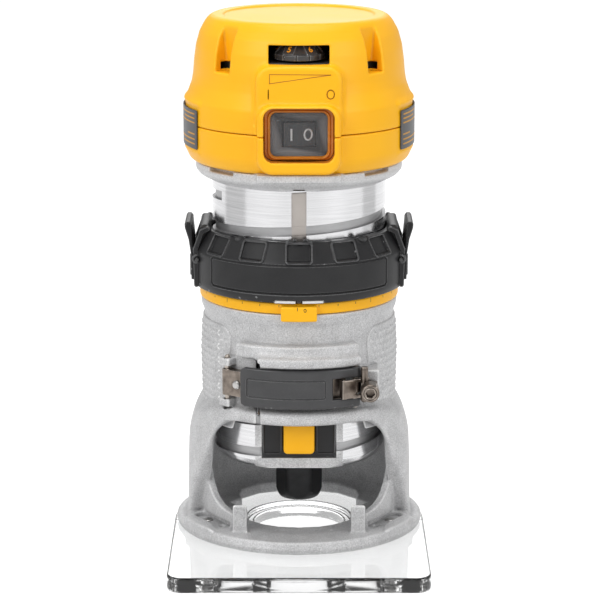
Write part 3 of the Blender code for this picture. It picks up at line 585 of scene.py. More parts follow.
def casting(x, y, z):
    """The base casting: foot, legs, back wall and split collar in one piece."""
    r = np.hypot(x, y)
    body = clamp_seats(casting_outside(x, y, z, r), x, y, z, r)
    body = holes(guides_and_webs(opened(body, x, y, z, r), x, y, z), x, y, z)
    return meet(body, SOLE_Z - z)


def casting_finish(centre, _normal):
    """Machined in the bore and on the neck, and blasted elsewhere."""
    x, y, z = centre
    r = np.hypot(x, y)
    bore = (r < 35.2) & (z > 55)
    neck = (r < 36.8) & (z > 100.8)
    return (bore | neck).astype(int)


def grip_pad(side):
    """The raised grip on one side of the collar, with its staggered pimples."""
    s_half, middle_z, step, collar_radius = 31.2, 73.2, 0.30, 38.3
    s = np.arange(-s_half - 0.9, s_half + 0.91, step)
    z = np.arange(52.2, 94.01, step)
    ss, zz = np.meshgrid(s, z, indexing="ij")
    edge = rounded(ss, zz, (0, middle_z), (s_half, 20.2), 7)
    rise = np.clip(-edge / 1.1, 0, 1)
    rise = rise * rise * (3 - 2 * rise)
    pitch_s, pitch_z = 3.3, 2.7
    row = np.round((zz - middle_z) / pitch_z)
    shifted = ss + np.where(row % 2 == 0, 0, pitch_s / 2)
    ds = shifted - np.round(shifted / pitch_s) * pitch_s
    dz = zz - middle_z - row * pitch_z
    pimple = np.exp(-((ds ** 2 + dz ** 2) / 0.80 ** 2)) * np.clip((-edge - 1.8) / 0.6, 0, 1)
    radius = WALL(zz) - 0.35 + 0.95 * rise + 0.62 * pimple
    angle = side * (math.pi / 2) + ss / collar_radius
    outer = np.stack([radius * np.sin(angle), -radius * np.cos(angle), zz], -1).reshape(-1, 3)
    inside = WALL(zz) - 1.2
    inner = np.stack([inside * np.sin(angle), -inside * np.cos(angle), zz], -1).reshape(-1, 3)
    n, m = ss.shape
    grid = np.arange(n * m).reshape(n, m)
    quads = np.stack([grid[:-1, :-1], grid[1:, :-1], grid[1:, 1:], grid[:-1, 1:]], -1).reshape(-1, 4)
    rim = np.concatenate([grid[:, 0], grid[-1, 1:], grid[-2::-1, -1], grid[0, -2:0:-1]])
    after = np.roll(rim, -1)
    sides = np.stack([after, rim, rim + n * m, after + n * m], -1)
    faces = np.concatenate([quads, quads[:, ::-1] + n * m, sides])
    name = "grip_pad_left" if side < 0 else "grip_pad_right"
    mesh = raw_mesh(name, np.concatenate([outer, inner]), faces)
    return add_piece(name, mesh, "base", CAST)


def base_parts():
    solid(
        "base_casting_fine", casting, (-50, -50, 6), (50, 50, 111.2), 0.6, "base", [CAST, MACHINED],
        ["base_casting"], casting_finish,
    )
    for side in (-1, 1):
        grip_pad(side)
    solid(
        "sub_base_plate", sub_base, (-51, -76.2, -0.1), (51, 51, 6.1), 0.5, "base", CLEAR,
        ["sub_base"],
    )
    section = [(0, 11.0), (1.8, 11.0), (2.0, 10.8), (2.0, 3.2), (4.1, 3.2), (4.2, 3.1), (4.2, 1.5)]
    section += [(3.9, 1.0), (3.2, 0.65), (1.6, 0.6), (1.5, 1.7), (0, 1.7)]
    for i, (x, y) in enumerate(SUB_BASE_SCREWS, 1):
        node = f"sub_base_screw_{i}"
        lathe(f"{node}_round", section, "base", STEEL, [node], 48, (x, y, 0))


def sub_base(x, y, z):
    """The clear plate under the casting, with the bit hole and the screw holes."""
    body = rounded(x, y + 12.6, (0, 0), (50.8, 63.4), 6)
    rear = cut(np.hypot(x, y) - 50.8, y)
    body = meet(body, np.where(y > 0, rear, -99))
    body = soft_max(body, slab(z, 0, 6.0), 0.7)
    body = cut(body, np.hypot(x, y) - 18.5, 0.6)
    body = cut(body, meet(np.hypot(x, y) - 21.2, 4.2 - z), 0.5)
    for place in SUB_BASE_SCREWS[1::2]:
        d = disc(np.abs(x), y, place, 0)
        body = cut(body, d - 2.4, 0.4)
        body = cut(body, meet(d - 4.6, z - 3.5), 0.4)
    return body


# ---------------------------------------------------------------- clamp

FULCRUM, TRUNNION, PIN_HOLE = (21.9, -36.6), (25.5, -38.7), 1.35


def lever(x, y, z):
    """The lever of the clamp, curved round the collar."""
    r = np.hypot(x, y)
    body = soft_max(slab(r, 42.1, 44.4), meet(wedge(x, y, -31.5, 32.6), slab(z, 63.7, 79.5)), 1.0)
    body = meet(body, rounded(44.0 * np.radians(angle_of(x, y)), z, (0.42, 71.6), (24.6, 7.9), 2.6))
    frame_line = np.abs(rounded(x, z, (-5.0, 71.6), (15.3, 3.6), 0.8)) - 0.22
    body = cut(body, meet(frame_line, 44.05 - r))
    body = cut(body, meet(slab(x, 13.2, 40), slab(z, 67.2, 75.6), y + 28), 0.5)
    hub = meet(disc(x, y, FULCRUM, 2.1), either(slab(z, 63.7, 67.0), slab(z, 75.8, 79.5)))
    body = soft_min(body, hub, 0.8)
    return cut(body, disc(x, y, FULCRUM, PIN_HOLE))


def band(x, y, z):
    """The strap of the clamp."""
    r = np.hypot(x, y)
    strap = meet(slab(r, 39.2, 40.1), wedge(x, y, -42, 27), slab(z, 66.2, 77.0))
    fold = meet(slab(r, 40.0, 42.2), wedge(x, y, -41.6, -33), slab(z, 66.4, 76.8))
    body = soft_max(soft_min(strap, fold, 0.5), slab(z, 66.2, 77.0), 0.5)
    loop = meet(disc(x, y, ANCHOR, 2.1), slab(z, 66.4, 76.8))
    body = soft_min(body, loop, 0.6)
    knuckle = meet(disc(x, y, FULCRUM, 2.1), slab(z, 69.2, 73.6))
    arm = meet(ring_sector(x, y, 39.5, 42.3, 25.5, 30.5), slab(z, 69.4, 73.4))
    body = soft_min(body, either(knuckle, arm), 0.4)
    body = cut(body, disc(x, y, ANCHOR, PIN_HOLE))
    return cut(body, disc(x, y, FULCRUM, PIN_HOLE))


def toggle(x, y, z):
    """The toggle link beside the lever."""
    r = np.hypot(x, y)
    plate = soft_max(ring_sector(x, y, 45.4, 46.4, 21.6, 28.6), slab(z, 67.6, 75.2), 0.7)
    hook = meet(ring_sector(x, y, 42.8, 45.9, 21.6, 23.4), slab(z, 67.8, 75.0))
    body = soft_min(plate, hook, 0.6)
    eyes = either(slab(z, 67.6, 68.8), slab(z, 74.0, 75.2))
    arm = meet(ring_sector(x, y, 45.3, 46.4, 27.5, 33.5), eyes)
    eye = soft_max(disc(x, y, TRUNNION, 2.4), eyes, 0.3)
    body = soft_min(body, either(arm, eye), 0.5)
    body = cut(body, disc(x, y, TRUNNION, 1.65))
    return meet(body, slab(r, 34, 46.5))


def trunnion(x, y, z):
    """The round pin that the tension screw goes through."""
    rod = meet(disc(x, y, TRUNNION, 1.4), slab(z, 66.4, 79.8))
    knob = np.sqrt((x - TRUNNION[0]) ** 2 + (y - TRUNNION[1]) ** 2 + (z - 78.4) ** 2) - 1.5
    low = np.sqrt((x - TRUNNION[0]) ** 2 + (y - TRUNNION[1]) ** 2 + (z - 66.9) ** 2) - 1.5
    block = meet(slab(x, 24.3, 30.5), slab(y, -40.8, -36.3), slab(z, 69.3, 73.5))
    body = soft_min(soft_min(rod, block, 0.4), either(knob, low), 0.3)
    return cut(body, disc(x, z, (SCREW_X, CLAMP_Z), 1.8))


def screw(x, y, z):
    """The tension screw, with a hexagon socket in its head."""
    d = np.hypot(x - SCREW_X, z - CLAMP_Z)
    head = soft_max(d - 3.6, slab(y, -48.2, -41.3), 0.9)
    shank = meet(d - 1.5, slab(y, -47, -29))
    socket = hexagon(x - SCREW_X, z - CLAMP_Z, 1.55, 20)
    body = cut(either(head, shank), meet(socket, y + 45.2), 0.35)
    return cut(body, meet(slab(d, 2.35, 2.65), y + 47.9), 0.2)


def clamp_parts():
    small = 0.22
    solid("clamp_lever_curved", lever, (-24.5, -45, 63.5), (25.5, -33, 79.7), 0.25, "clamp_lever", LEVER,
          ["clamp_lever"])
    solid("clamp_band_folded", band, (-31, -43.5, 66), (24.5, -26, 77.2), small, "base", NICKEL,
          ["clamp_band"])
    solid("toggle_link_bent", toggle, (14.5, -47, 67.4), (29, -35, 75.4), small, "toggle_link", NICKEL,
          ["toggle_link"])
    solid("trunnion_pin_block", trunnion, (23, -41.5, 65), (31.5, -36, 80.2), small, "base", NICKEL,
          ["trunnion_pin"])
    solid("tension_screw_socket", screw, (23.5, -48.4, 67.4), (31.7, -28.8, 75.4), small, "tension_screw",
          NICKEL, ["tension_screw"])
    pin("band_anchor_pin", "base", NICKEL, ease=0.4)
    pin("fulcrum_pin", "base", NICKEL, ease=0.3)
    turn = Matrix.Rotation(math.radians(180 - 35.2), 4, "Z") @ BACK_Y
    head = [(0, 42.5), (1.7, 42.5), (1.75, 42.8), (1.3, 43.3), (0, 43.5)]
    place = (0, 0, CLAMP_Z)
    lathe("band_rivet_head", head, "base", STEEL, ["band_rivet"], 40, place, turn)


# ---------------------------------------------------------------- rings and release tabs

RING = profile([(105.7, 41.9), (107.6, 42.5), (109, 42.6), (119.4, 42.6), (120.6, 42.5), (122.4, 41.5),
                (128.9, 37.6)], 0.3)
GRIP_ANGLES = (0, 26.5, 52)
TAB_EYE_Z = 117.6
BRACKET = ((36.0, 129.6), (38.4, 128.4), (40.9, 121.4), (40.6, 107.0))


def depth_ring(x, y, z):
    """The depth ring, with its grips and the brackets of the release tabs."""
    r = np.hypot(x, y)
    outer = RING(z)
    body = soft_max(r - outer, slab(z, 105.7, 128.9), 0.7)
    for g in GRIP_ANGLES:
        a = math.radians(g)
        ax, ay = np.abs(x), -np.abs(y)
        along = ax * math.cos(a) + ay * math.sin(a)
        facing = ax * math.sin(a) - ay * math.cos(a)
        square = np.where(facing > 20, rounded(along, z, (0, 125.2), (5.2, 3.7), 1.3), 99)
        rim = soft_max(np.abs(square + 0.2) - 0.50, r - outer - 0.55, 0.3)
        body = soft_min(body, meet(rim, 34 - r), 0.25)
        body = cut(body, meet(square + 0.75, outer - 0.75 - r), 0.5)
    s = 42.6 * np.radians(angle_of(x, y))
    panel = rounded(s, z, (0, 115.0), (40.0, 5.6), 1.4)
    groove = meet(np.abs(panel) - 0.32, y)
    body = cut(body, meet(groove, 41.9 - r), 0.3)
    body = cut(body, meet(panel, y, 42.35 - r), 0.25)
    hump = soft_max(meet(slab(np.abs(x), 35.2, 39.4), np.abs(y) - 13.0), slab(z, 120, 130.8), 2.2)
    body = soft_min(body, hump, 1.0)
    pocket = meet(38.0 - np.abs(x), np.abs(y) - 12.5, 107.5 - z)
    body = cut(body, meet(pocket, np.where(z > 124, 39.3, 37.9) - np.abs(x)))
    side = slab(np.abs(y), 12.9, 14.9)
    for a, b in zip(BRACKET, BRACKET[1:]):
        body = soft_min(body, soft_max(stick(np.abs(x), z, a, b, 0.95), side, 0.4), 0.4)
    eye = soft_max(disc(np.abs(x), z, (40.4, TAB_EYE_Z), 1.9), slab(np.abs(y), 12.8, 15.6), 0.4)
    body = soft_min(body, eye, 0.3)
    for tooth in ((-2.4, -1.0), (1.7, 3.2)):
        peak = meet(slab(x, *tooth), slab(r, 35.4, 37.6), slab(z, 126, 130.1))
        body = soft_min(body, meet(peak, y), 0.4)
    for nub in (-22.8, 24.4):
        body = soft_min(body, egg(x, y, z, (nub, -29.4, 128.6), (2.0, 1.6, 1.3)) * 1.3, 0.5)
    notch = meet(ring_sector(x, y, 40.9, 50, -13.2, 13.2), slab(z, 100, 107.0))
    pointer = np.abs(x) - 0.9 + (106.9 - z) * 0.45
    body = cut(body, cut(notch, pointer), 0.3)
    body = meet(body, 35.15 - r)
    body = cut(body, meet(r - 36.75, z - 111.3))
    body = meet(body, slab(z, 105.6, 131))
    return cut(body, meet(disc(np.abs(x), z, (40.2, TAB_EYE_Z), 1.0), np.abs(y) - 30))


def release_tab(side):
    """One of the two squeeze tabs, on the given side of the depth ring."""
    face = [(41.7, 108.4), (42.7, 108.4), (42.9, 114), (42.9, 119), (43.7, 124.6), (45.2, 129.2)]
    face += [(45.3, 130.6), (44.6, 131.5), (43.3, 131.5), (42.5, 130.4), (42.2, 126.2), (41.7, 120.5)]

    def field(x, y, z):
        u = side * x
        body = soft_max(polygon(u, z, face), np.abs(y) - 11.5 + np.maximum(z - 126, 0) * 0.25, 0.7)
        body = soft_max(body, -egg(u, y, z, (47.2, 0, 124.4), (3.2, 8.2, 5.2)) * 3, 0.4)
        for ridge in (-7.0, 0.0, 7.0):
            rib = disc(u, y, (42.9, ridge), 0.45)
            body = soft_min(body, meet(rib, slab(z, 109.4, 118)), 0.3)
        hub = meet(disc(u, z, (40.2, TAB_EYE_Z), 1.8), np.abs(y) - 11.3)
        web = meet(slab(u, 40.2, 42.4), np.abs(y) - 11.1, slab(z, 116.4, 118.8))
        body = soft_min(body, soft_min(hub, web, 0.4), 0.4)
        return cut(body, meet(disc(u, z, (40.2, TAB_EYE_Z), 1.05), np.abs(y) - 20))

    return field


def scale_ring(x, y, z):
    """The ring with the depth scale."""
    r = np.hypot(x, y)
    body = soft_max(slab(r, 36.75, 39.7), slab(z, 100.9, 105.2), 0.6)
    tab = soft_max(meet(slab(r, 39.55, 42.4), wedge(x, y, -9.6, 9.6)), slab(z, 98.4, 104.4), 0.9)
    root = meet(ring_sector(x, y, 38, 41, -9.6, 9.6), slab(z, 101.0, 104.4))
    return soft_min(body, either(tab, root), 0.5)


def wrapped(name, boxes, radius, thick, body, mat):
    """Flat marks laid round the axis: each is (angle, z, half width, half height) in degrees and mm."""
    bm = bmesh.new()
    for angle, z, half_w, half_h in boxes:
        made = bmesh.ops.create_cube(bm, size=2)["verts"]
        bmesh.ops.scale(bm, vec=(half_w, thick / 2, half_h), verts=made)
        turn = Matrix.Rotation(math.radians(angle), 4, "Z")
        bmesh.ops.transform(bm, matrix=turn @ Matrix.Translation((0, -radius, z)), verts=made)
    return add_piece(name, bm_mesh(name, bm), body, mat, smooth=False)


def ring_parts():
    solid("depth_ring_moulded", depth_ring, (-43.5, -43.5, 105.4), (43.5, 43.5, 131.2), 0.33, "depth_ring",
          BLACK, ["depth_ring"])
    for side, name in ((-1, "left"), (1, "right")):
        low, high = sorted((side * 38.1, side * 46))
        solid(f"release_tab_{name}_moulded", release_tab(side), (low, -12, 108), (high, 12, 132), 0.25,
              f"release_tab_{name}", BLACK, [f"release_tab_{name}"])
        pin(f"tab_pin_{name}", "depth_ring", OXIDE, "Y")
    solid("scale_ring_moulded", scale_ring, (-43, -43, 98.2), (43, 43, 105.4), 0.4, "scale_ring", YELLOW,
          ["scale_ring"])
    ticks = [(i * 11.25, 104.1 if i % 4 else 103.9, 0.11, 0.45 if i % 4 else 0.7) for i in range(32)]
    wrapped("scale_ticks", ticks[1:], 39.71, 0.06, "scale_ring", INK)
    wrapped("scale_zero_line", [(-0.8, 103.6, 0.12, 0.7)], 42.40, 0.06, "scale_ring", INK)
    windows = [(side * (2.6 + 1.1 * i), 106.15, 0.52, 0.5) for side in (-1, 1) for i in range(10)]
    wrapped("index_windows", windows, 41.2, 0.5, "depth_ring", WHITE)
    zero = Matrix.Rotation(math.radians(3.2), 4, "Z") @ Matrix.Translation((0, -42.42, 0))
    ring = [(circle(0, 103.1, 0.45, 0.62), 0.22)]
    flat_mark("scale_zero", ring, zero, "scale_ring", INK, 0.06)


# ---------------------------------------------------------------- motor housing

LEAD, GROOVE_FRONT = 12.7, 132.7
GROOVE_HALF, GROOVE_EASE, GROOVE_FLOOR, GROOVE_TURNS = 1.86, 0.14, 33.2, 0.83
NOSE_Z, BARREL_TOP = 36.0, 148.6
FRAME_TOP, KEY_FLOOR = 57.6, 33.6
BARREL = [(36.0, 32.2), (36.35, 32.6), (37.0, 33.3), (39.5, 34.45), (39.9, 34.5), (148.6, 34.5)]


def groove_share(angle, z):
    """How far into the helical groove a point is, from 0 on the land to 1 on its floor."""
    turn = angle / 360
    n = np.round((z - GROOVE_FRONT) / LEAD - turn)
    off = np.abs(z - GROOVE_FRONT - LEAD * (turn + n))
    share = np.clip((GROOVE_HALF - off) / GROOVE_EASE, 0, 1)
    reached = turn + n
    fade = np.clip((GROOVE_TURNS - reached) * 360 / 0.35, 0, 1)
    return share * fade


def barrel_mesh():
    """The machined barrel. Its rows follow the helix, so that the groove's edges are clean."""
    angles = set(np.arange(-180, 180, 2.0))
    for edge in (4.55, 4.8, 29.8, 30.2):
        angles |= {edge, -edge}
    angles |= {-61.45, -61.2, -60.85}
    angles = np.array(sorted(angles))
    in_lead = [-1.86, -1.72, 1.72, 1.86] + list(np.linspace(2.6, LEAD - 2.6, 14))
    rows = np.sort(np.array([GROOVE_FRONT + LEAD * k + t for k in range(-10, 4) for t in in_lead]))
    shift = len(in_lead)
    a, t = np.meshgrid(angles, rows, indexing="ij")
    z = np.clip(t + LEAD * a / 360, NOSE_Z, BARREL_TOP)
    zs, rs = zip(*BARREL)
    r = np.interp(z, zs, rs)
    r = r - groove_share(a, z) * (r - GROOVE_FLOOR)
    key = (np.abs(a) < 4.7) & (z > 60) & (z < 147.5)
    r = np.where(key, np.minimum(r, KEY_FLOOR), r)
    flat = np.abs(a) < 60
    plane = 29.9 / np.cos(np.radians(np.where(flat, a, 0)))
    r = np.where(flat & (z < FRAME_TOP), np.minimum(r, plane), r)
    rad = np.radians(a)
    outer = np.stack([r * np.sin(rad), -r * np.cos(rad), z], -1)
    inside = [(14.5, NOSE_Z), (14.5, 52.0), (14.5, 61.0), (31.5, 62.0), (31.5, BARREL_TOP)]
    rad = np.radians(angles)
    inner = np.stack(
        [np.stack([q * np.sin(rad), -q * np.cos(rad), np.full(len(rad), h)], -1) for q, h in inside], 1
    )
    n, m, k = len(angles), len(rows), len(inside)
    points = np.concatenate([outer.reshape(-1, 3), inner.reshape(-1, 3)])
    grid = np.arange(n * m).reshape(n, m)
    quads = [np.stack([grid[:-1, :-1], grid[1:, :-1], grid[1:, 1:], grid[:-1, 1:]], -1).reshape(-1, 4)]
    last, first = grid[-1], grid[0]
    seam = np.stack([last[:-1 - shift], first[shift:-1], first[shift + 1:], last[1:-shift]], -1)
    quads.append(seam)
    wall = (np.arange(n * k) + n * m).reshape(n, k)
    wall_next = np.roll(wall, -1, axis=0)
    for i in range(k - 1):
        quads.append(np.stack([wall[:, i], wall[:, i + 1], wall_next[:, i + 1], wall_next[:, i]], -1))
    low, high = grid[:, 0], grid[:, -1]
    quads.append(np.stack([low, wall[:, 0], wall_next[:, 0], np.roll(low, -1)], -1))
    quads.append(np.stack([high, np.roll(high, -1), wall_next[:, -1], wall[:, -1]], -1))
    mesh = raw_mesh("motor_barrel", points, np.concatenate(quads))
    bm = bmesh.new()
    bm.from_mesh(mesh)
    bpy.data.meshes.remove(mesh)
    bmesh.ops.remove_doubles(bm, verts=bm.verts, dist=0.002)
    bmesh.ops.recalc_face_normals(bm, faces=bm.faces)
    return bm_mesh("motor_barrel", bm)


def cut_box(mesh, low, high):
    """The mesh with a box cut out of it."""
    obj = bpy.data.objects.new(mesh.name, mesh)
    bm = bmesh.new()
    bmesh.ops.create_cube(bm, size=1)
    size, middle = Vector(high) - Vector(low), (Vector(high) + Vector(low)) / 2
    bmesh.ops.scale(bm, vec=size, verts=bm.verts)
    bmesh.ops.translate(bm, vec=middle, verts=bm.verts)
    tool = bpy.data.objects.new("cutter", bm_mesh("cutter", bm))
    for o in (obj, tool):
        bpy.context.scene.collection.objects.link(o)
    modifier = obj.modifiers.new("pocket", "BOOLEAN")
    modifier.operation = "DIFFERENCE"
    modifier.object = tool
    graph = bpy.context.evaluated_depsgraph_get()
    made = bpy.data.meshes.new_from_object(obj.evaluated_get(graph))
    for o in (obj, tool):
        bpy.data.objects.remove(o)
    return made


def barrel_finish(centre, normal):
    """Which finish a face of the barrel has: turned, cast, keyway or groove."""
    x, y, z = centre
    r = np.hypot(x, y)
    frame_face = (z < FRAME_TOP) & (y < -29.2) & (np.abs(x) < 17.4) & (np.abs(normal[1]) > 0.7)
    apron = (z < 40.2) & (y < -20) & (np.abs(x) < 17.4)
    key = (np.abs(x) < 2.9) & (y < 0) & (r < 33.9) & (z > 60) & (z < 147.6) & (r > 32)
    groove = (groove_share(angle_of(x, y), z) > 0.2) & (r > 32.5) & (z > 40)
    return np.where(frame_face | apron, 1, np.where(key, 2, np.where(groove, 3, 0)))


FLANGE = profile([
    (148.2, 34.9), (148.9, 36.2), (150.4, 39.3), (152.0, 40.7), (152.8, 40.9), (156, 40.9),
], 0.3)
LOCK_Z = 48.95


def motor_flange(x, y, z):
    """The flange on top of the barrel."""
    r = np.hypot(x, y)
    body = soft_max(r - FLANGE(z), slab(z, 148.2, 155.6), 0.6)
    pad = soft_max(meet(np.abs(x) - 16.2, slab(y, -44.2, -36)), slab(z, 153.3, 156.4), 0.7)
    body = soft_min(body, pad, 1.6)
    for side in (-1, 1):
        gap = meet(wedge(side * x, y, 38.5, 59), slab(z, 154.0, 158))
        body = cut(body, meet(gap, 37.5 - r), 0.4)
    step = meet(np.abs(x) - 8.0, y + 34.6, z - 149.6)
    body = cut(body, meet(step, -60 - y), 0.3)
    return meet(body, 34.55 - r)


def insert(x, y, z):
    """The insert round the spindle lock's button."""
    body = soft_max(meet(np.abs(x) - 14.5, slab(y, -29.6, -20.3)), slab(z, 40.3, 56.7), 0.5)
    well = meet(rounded(x, z, (0, LOCK_Z), (6.4, 6.65), 1.4), slab(y, -40, -23.4))
    body = cut(body, well, 0.5)
    for side in (-1, 1):
        dish = meet(rounded(x, z, (side * 10.6, 48.7), (3.2, 6.6), 0.6), slab(y, -40, -29.2))
        body = cut(body, dish, 0.3)
    return cut(body, meet(np.hypot(x, z - 48) - 2.3, slab(y, -24, -15)))


def button(x, y, z):
    """The spindle lock's button, with a dished face."""
    body = rounded(x, z, (0, LOCK_Z), (6.1, 6.35), 1.7)
    body = soft_max(body, slab(y, -33.7, -28.7), 1.2)
    return soft_max(body, -egg(x, y, z, (0, -37.6, LOCK_Z), (5.6, 4.2, 5.8)) * 4, 0.8)


def nut(x, y, z):
    """The collet nut: a hexagon with a round crown."""
    r = np.hypot(x, y)
    crown = r - np.interp(z, [15.6, 16.2, 17.4, 18.8, 36], [7.8, 8.3, 8.9, 9.35, 9.45])
    body = soft_max(soft_max(hexagon(-y, x, 8.5, 0), crown, 0.25), slab(z, 15.6, 33.5), 0.4)
    return meet(body, np.interp(z, [15, 17.2, 18.5, 40], [5.3, 5.3, 7.8, 7.8]) - r)


def motor_parts():
    mesh = cut_box(barrel_mesh(), (-14.8, -35.0, 40.0), (14.8, -20.0, 57.0))
    mesh.polygons.foreach_set("use_smooth", np.ones(len(mesh.polygons), bool))
    mesh.set_sharp_from_angle(angle=math.radians(28))
    mesh.materials.clear()
    add_piece("motor_barrel_grooved", mesh, "motor", [MACHINED, CAST, KEYWAY, GROOVE],
              ["motor_housing"], barrel_finish, smooth=False)
    solid("motor_flange", motor_flange, (-42, -45, 148), (42, 42, 156.6), 0.45, "motor", FLANGE_CAST)
    solid("lock_housing_moulded", insert, (-15, -30, 40), (15, -20, 57), 0.25, "motor", BLACK,
          ["lock_housing"])
    solid("lock_button_dished", button, (-6.4, -34, 42.2), (6.4, -28.4, 55.6), 0.2, "spindle_lock", YELLOW,
          ["spindle_lock_button"])
    solid("collet_nut_turned", nut, (-10, -10, 15.3), (10, 10, 33.8), 0.22, "spindle", OXIDE,
          ["collet_nut"])
    ring = [(13.8, 37.5), (14.0, 37.3), (14.0, 35.4), (13.6, 35.0), (10.2, 35.0), (9.8, 35.4), (9.8, 37.5)]
    lathe("led_ring_moulded", ring, "motor", BLACK, ["led_ring"])
    for side, name in ((-1, "left"), (1, "right")):
        lens = [(0, 34.7), (1.0, 34.7), (1.35, 34.3), (1.4, 34.0), (1.2, 33.6), (0.7, 33.3), (0, 33.2)]
        lathe(f"led_lens_{name}_round", lens, "motor", CLEAR, [f"led_lens_{name}"], 40,
              (side * 11.9, 0, 0))


# ---------------------------------------------------------------- yellow shells

SHELL = profile([
    (155.9, 42.2), (157.2, 43.4), (159.8, 44.6), (161.6, 45.0), (175, 44.95), (180.4, 44.6), (183.4, 43.5),
    (186.6, 42.3), (190, 41.7), (195, 41.3), (201, 40.5), (206.4, 39.0), (210.4, 36.8), (212.4, 35.0),
    (213, 33.8),
], 0.55)
HOLLOW = profile([
    (150, 42.4), (171, 42.4), (179, 41.7), (188, 39.3), (198, 38.7), (205.6, 36.7), (209.8, 33.5),
])
RECESS, BOOT_MIDDLE = ((0, 171.9), (13.4, 10.3), 3.8), (0, 171.7)
INLET_Z = 190.0
VENT_ANGLES = (-46, 46, 134, 226)
SEAM = 171.35


def vents(x, y, z):
    """The four sloping scoops of the cap, and the ports at their feet."""
    scoops, ports = 99.0, 99.0
    for degrees in VENT_ANGLES:
        a = math.radians(degrees)
        across, out = x * math.cos(a) + y * math.sin(a), x * math.sin(a) - y * math.cos(a)
        slope = 36.3 - (210.5 - z) * 0.10 - out
        scoop = soft_max(meet(np.abs(across) - 4.0, 193.5 - z), meet(slope, 20 - out), 1.0)
        scoops = either(scoops, scoop)
        port = meet(np.abs(across) - 6.2, slab(z, 194.2, 197.0), slab(out, 28, 37.8))
        ports = either(ports, port)
    return scoops, ports


def shell(x, y, z):
    r = np.hypot(x, y)
    angle = angle_of(x, y)
    at_side = np.clip((33 - np.abs(np.abs(angle) - 90)) / 3.0, 0, 1)
    ridge = 0.75 * np.exp(-(((z - 180.4) / 1.25) ** 2)) + 0.35 * np.exp(-(((z - 161.2) / 1.0) ** 2))
    body = soft_max(r - SHELL(z) - at_side * ridge, slab(z, 156.0, 213.0), 1.3)
    top_dish = soft_max(r - 29.4, 212.25 - z, 0.5)
    body = cut(body, top_dish, 1.2)
    panel = soft_max(rounded(x, z, (0, 185.5), (16.4, 12.2), 5.5), slab(y, -42.9, -34), 1.8)
    body = soft_min(body, panel, 2.2)
    bezel = soft_max(rounded(x, z, (0, 170.1), (16.0, 13.3), 6.0), slab(y, -47.0, -36), 2.2)
    body = soft_min(body, bezel, 1.7)
    hollow = meet(r - HOLLOW(z), slab(z, 158.4, 209.7))
    hollow = either(hollow, meet(r - 36.2, z - 160))
    scoops, ports = vents(x, y, z)
    body = cut(body, soft_max(hollow, 1.3 - scoops, 0.5), 0.5)
    recess = meet(rounded(x, z, *RECESS), y + 20)
    body = cut(body, recess, 0.9)
    window = meet(rounded(x, z, (0, 201.7), (11.6, 3.6), 0.5), y + 27)
    body = cut(body, window, 0.5)
    body = cut(body, scoops, 0.9)
    body = cut(body, ports, 0.4)
    return cut(body, meet(np.hypot(x, z - 190.0) - 5.8, 30 - y))


def cap(x, y, z):
    return soft_max(shell(x, y, z), SEAM + 0.17 - z, 0.5)


def lower(x, y, z):
    return soft_max(shell(x, y, z), z - SEAM + 0.17, 0.5)


def shell_finish(centre, normal):
    x, y, z = centre
    # wall picks the switch recess's side walls, which get the darker amber as painted shade.
    wall = (rounded(x, z, *RECESS) < 0.35) & (y < -20) & (y > -46.4)
    # hollow picks the inside faces of the shell, which are painted near black as shade.
    hollow = (np.hypot(x, y) < HOLLOW(z) + 0.3) & (z > 158.6) & (z < 209.6) & (vents(x, y, z)[0] > 0.7)
    return np.where(wall & (np.abs(normal[1]) < 0.8), 1, np.where(hollow, 2, 0))


def boot(x, y, z):
    """The clear boot over the rocker."""
    outer = soft_max(rounded(x, z, BOOT_MIDDLE, (10.6, 8.1), 2.2), slab(y, -42.6, -38.9), 0.6)
    inner = meet(rounded(x, z, BOOT_MIDDLE, (9.7, 7.2), 1.6), slab(y, -41.9, -30))
    body = cut(outer, inner)
    rim = meet(np.abs(rounded(x, z, BOOT_MIDDLE, (8.6, 6.1), 1.6)) - 0.5, slab(y, -43.4, -42.1))
    clip = meet(np.abs(x) - 2.2, slab(z, 176.6, 179.2), slab(y, -43.4, -42.1))
    return soft_min(body, soft_min(rim, clip, 0.3), 0.5)


def switch_frame(x, y, z):
    """The ledge between the recess and the boot, coloured a darker amber as painted shade."""
    body = meet(rounded(x, z, (0, 171.9), (13.2, 10.1), 3.6), slab(y, -41.6, -40.6))
    ridge = meet(np.abs(rounded(x, z, BOOT_MIDDLE, (11.5, 9.0), 2.6)) - 0.3, slab(y, -42.3, -41))
    body = soft_min(body, ridge, 0.4)
    return cut(body, rounded(x, z, BOOT_MIDDLE, (10.9, 8.4), 2.4), 0.3)


ROCKER_Z, ROCKER_Y, TILT = 171.4, -37.2, math.radians(7)


def rocker(x, y, z):
    """The power rocker."""
    u = x * math.cos(TILT) + (y - ROCKER_Y) * math.sin(TILT)
    v = -x * math.sin(TILT) + (y - ROCKER_Y) * math.cos(TILT)
    outline = [(-6, -2.0), (0, -3.2), (6, -2.0), (5.4, 0.6), (0, 3.4), (-5.4, 0.6)]
    body = soft_max(polygon(u, v, outline), slab(z, ROCKER_Z - 4.6, ROCKER_Z + 4.6), 0.5)
    waist = np.hypot(u, v + 4.0) - 1.1
    return cut(body, waist, 0.5)


